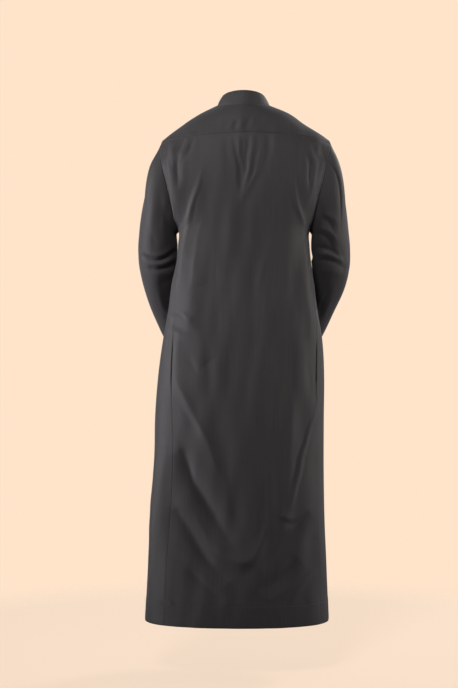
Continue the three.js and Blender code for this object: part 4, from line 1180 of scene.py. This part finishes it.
def shirt_button(name, piece, point, along):
    """A button on the face of a piece, its buttonhole running along a way."""
    (place,), (way_out,) = on_face([piece], [point])
    along = along - way_out * (along @ way_out)
    along /= np.linalg.norm(along)
    aside = np.cross(along, way_out)
    hole = np.linspace(0, 2 * np.pi, 90)
    rim = place + np.cos(hole)[:, None] * along * 7.4 * MM + np.sin(hole)[:, None] * aside * 1.0 * MM
    sewn([piece], rim, heights=ON_TOP, radius=0.32 * MM, step=0.5 * MM)
    run = np.concatenate([[0], np.cumsum(np.linalg.norm(np.diff(BUTTON_FORM, axis=0), axis=-1))])
    at = steps(0, 0.11, 2.2, 0.3, run[-2], 1.2, run[-1])
    radius, height = (np.interp(at, run, BUTTON_FORM[:, k]) for k in range(2))
    button = bmesh.new()
    bmesh.ops.create_grid(button, x_segments=len(at) - 1, y_segments=48, size=0.5)
    for vertex in button.verts:
        k = round((vertex.co.x + 0.5) * (len(at) - 1))
        turn = (vertex.co.y + 0.5) * 2 * math.pi
        u, v, h = radius[k] * math.cos(turn), radius[k] * math.sin(turn), height[k]
        if at[k] < 2.6:
            nearest = min(math.hypot(u - a, v - b) for a, b in HOLES)
            h -= 1.3 * (1 - float(eased_step(0.38, 0.56, nearest)))
        vertex.co = place + (along * u + aside * v + way_out * (h + 0.25)) * MM
    bmesh.ops.remove_doubles(button, verts=button.verts, dist=0.001 * MM)
    bmesh.ops.recalc_face_normals(button, faces=button.faces)
    made = finished(name, button, material=button_black)
    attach(made, "root")
    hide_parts(name[len("new_"):])
    for v in (-1.05, 1.05):
        for beside in (-0.16, 0.16):
            u = np.linspace(-1.1, 1.1, 9)
            h = 2.0 + 0.22 * np.cos(u / 1.1 * np.pi / 2) - 0.8 * (np.abs(u) > 1.0)
            centres = place + (u[:, None] * along + (v + beside) * aside + h[:, None] * way_out) * MM
            tube(thread, centres, np.repeat(way_out[None], 9, 0), 0.17 * MM)


for number, level in enumerate(BUTTON_LEVELS, 1):
    middle = body_form(np.array(math.pi), level)[0]
    shirt_button(f"new_button_placket_{number}", placket, middle + (0, -4 * MM, 0), up)
middle = collar_form(np.array([math.pi]), np.array([0.5]))[0][0]
shirt_button("new_button_collar", collar_band, middle + (0, -4 * MM, 0), np.array([1.0, 0, 0]))
stitching = finished("stitching", thread, material=thread_black)
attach(stitching, "root")

# ---------------------------------------------------------------------------------------
# Studio: a pale warm floor that melts into a warm backdrop of air, soft lamps level with the
# waist on both sides, the left one stronger, and higher ones behind the back and in front.
FLOOR_LEVEL = -1575 * MM
FLOOR_REACH, FLOOR_MELTS = 1.65, (1.15, 1.6)
floor_paint = bpy.data.materials.new("floor_paint")
floor_paint.use_nodes = True
floor_nodes, floor_links = floor_paint.node_tree.nodes, floor_paint.node_tree.links
paint = floor_nodes["Principled BSDF"]
paint.inputs["Base Color"].default_value = (0.34, 0.26, 0.20, 1)
paint.inputs["Roughness"].default_value = 0.9
paint.inputs["Specular IOR Level"].default_value = 0.1
paint.inputs["Emission Color"].default_value = (0.97, 0.78, 0.62, 1)
paint.inputs["Emission Strength"].default_value = 0.80
floor_place = floor_nodes.new("ShaderNodeTexCoord")
from_middle = floor_nodes.new("ShaderNodeVectorMath")
from_middle.operation = "LENGTH"
floor_links.new(floor_place.outputs["Object"], from_middle.inputs[0])
melting = floor_nodes.new("ShaderNodeMapRange")
melting.interpolation_type = "SMOOTHSTEP"
melting.inputs["From Min"].default_value, melting.inputs["From Max"].default_value = FLOOR_MELTS
floor_links.new(from_middle.outputs["Value"], melting.inputs["Value"])
gone = floor_nodes.new("ShaderNodeBsdfTransparent")
floor_mix = floor_nodes.new("ShaderNodeMixShader")
floor_links.new(melting.outputs["Result"], floor_mix.inputs["Fac"])
floor_links.new(paint.outputs["BSDF"], floor_mix.inputs[1])
floor_links.new(gone.outputs["BSDF"], floor_mix.inputs[2])
floor_links.new(floor_mix.outputs["Shader"], floor_nodes["Material Output"].inputs["Surface"])
ground = bmesh.new()
bmesh.ops.create_circle(ground, cap_ends=True, radius=FLOOR_REACH, segments=96)
ground_mesh = bpy.data.meshes.new("floor")
ground.to_mesh(ground_mesh)
ground.free()
ground_mesh.materials.append(floor_paint)
floor = bpy.data.objects.new("floor", ground_mesh)
floor.location.z = FLOOR_LEVEL
floor.visible_diffuse = floor.visible_glossy = False
bpy.context.scene.collection.objects.link(floor)

air = bpy.data.worlds.new("studio_air")
air.use_nodes = True
bpy.context.scene.world = air
air_nodes, air_links = air.node_tree.nodes, air.node_tree.links
seen = air_nodes["Background"]
seen.inputs["Color"].default_value = (1.0, 0.775, 0.591, 1)
glow = air_nodes.new("ShaderNodeBackground")
glow.inputs["Color"].default_value = (1, 0.93, 0.90, 1)
glow.inputs["Strength"].default_value = 0.13
by_ray = air_nodes.new("ShaderNodeLightPath")
either = air_nodes.new("ShaderNodeMixShader")
air_links.new(by_ray.outputs["Is Camera Ray"], either.inputs["Fac"])
air_links.new(glow.outputs["Background"], either.inputs[1])
air_links.new(seen.outputs["Background"], either.inputs[2])
air_links.new(either.outputs["Shader"], air_nodes["World Output"].inputs["Surface"])


def lamp(name, place, towards, size, power, spread, colour):
    light = bpy.data.lights.new(name, "AREA")
    light.shape, light.size, light.energy, light.color = "DISK", size, power, colour
    light.spread = math.radians(spread)
    holder = bpy.data.objects.new(name, light)
    holder.location = place
    holder.rotation_euler = (Vector(towards) - Vector(place)).to_track_quat("-Z", "Y").to_euler()
    bpy.context.scene.collection.objects.link(holder)


lamp("left_lamp", (3.9, 0.7, -0.5), (0, 0, -0.5), 1.8, 10.2, 32, (0.985, 0.965, 1))
lamp("right_lamp", (-3.9, 0.45, -0.5), (0, 0, -0.5), 1.8, 5.4, 32, (1, 0.94, 0.91))
lamp("back_lamp", (0.9, 3.3, 2.0), (0, 0, 0.1), 1.2, 11, 64, (1, 0.965, 0.95))
lamp("front_lamp", (-3.4, -3.2, 1.4), (0, 0, -0.6), 1.3, 84, 180, (1, 0.98, 0.97))

CAMERA_PLACE, CAMERA_TOWARDS = Vector((0.040, 6.0, -0.325)), Vector((0.040, 0, -0.6577))
CAMERA_LENS = 112.9
lens = bpy.data.cameras.new("camera")
lens.sensor_width, lens.lens = 36, CAMERA_LENS
camera = bpy.data.objects.new("camera", lens)
camera.location = CAMERA_PLACE
camera.rotation_euler = (CAMERA_TOWARDS - CAMERA_PLACE).to_track_quat("-Z", "Y").to_euler()
bpy.context.scene.collection.objects.link(camera)
bpy.context.scene.camera = camera
bpy.context.scene.view_settings.view_transform = "Standard"
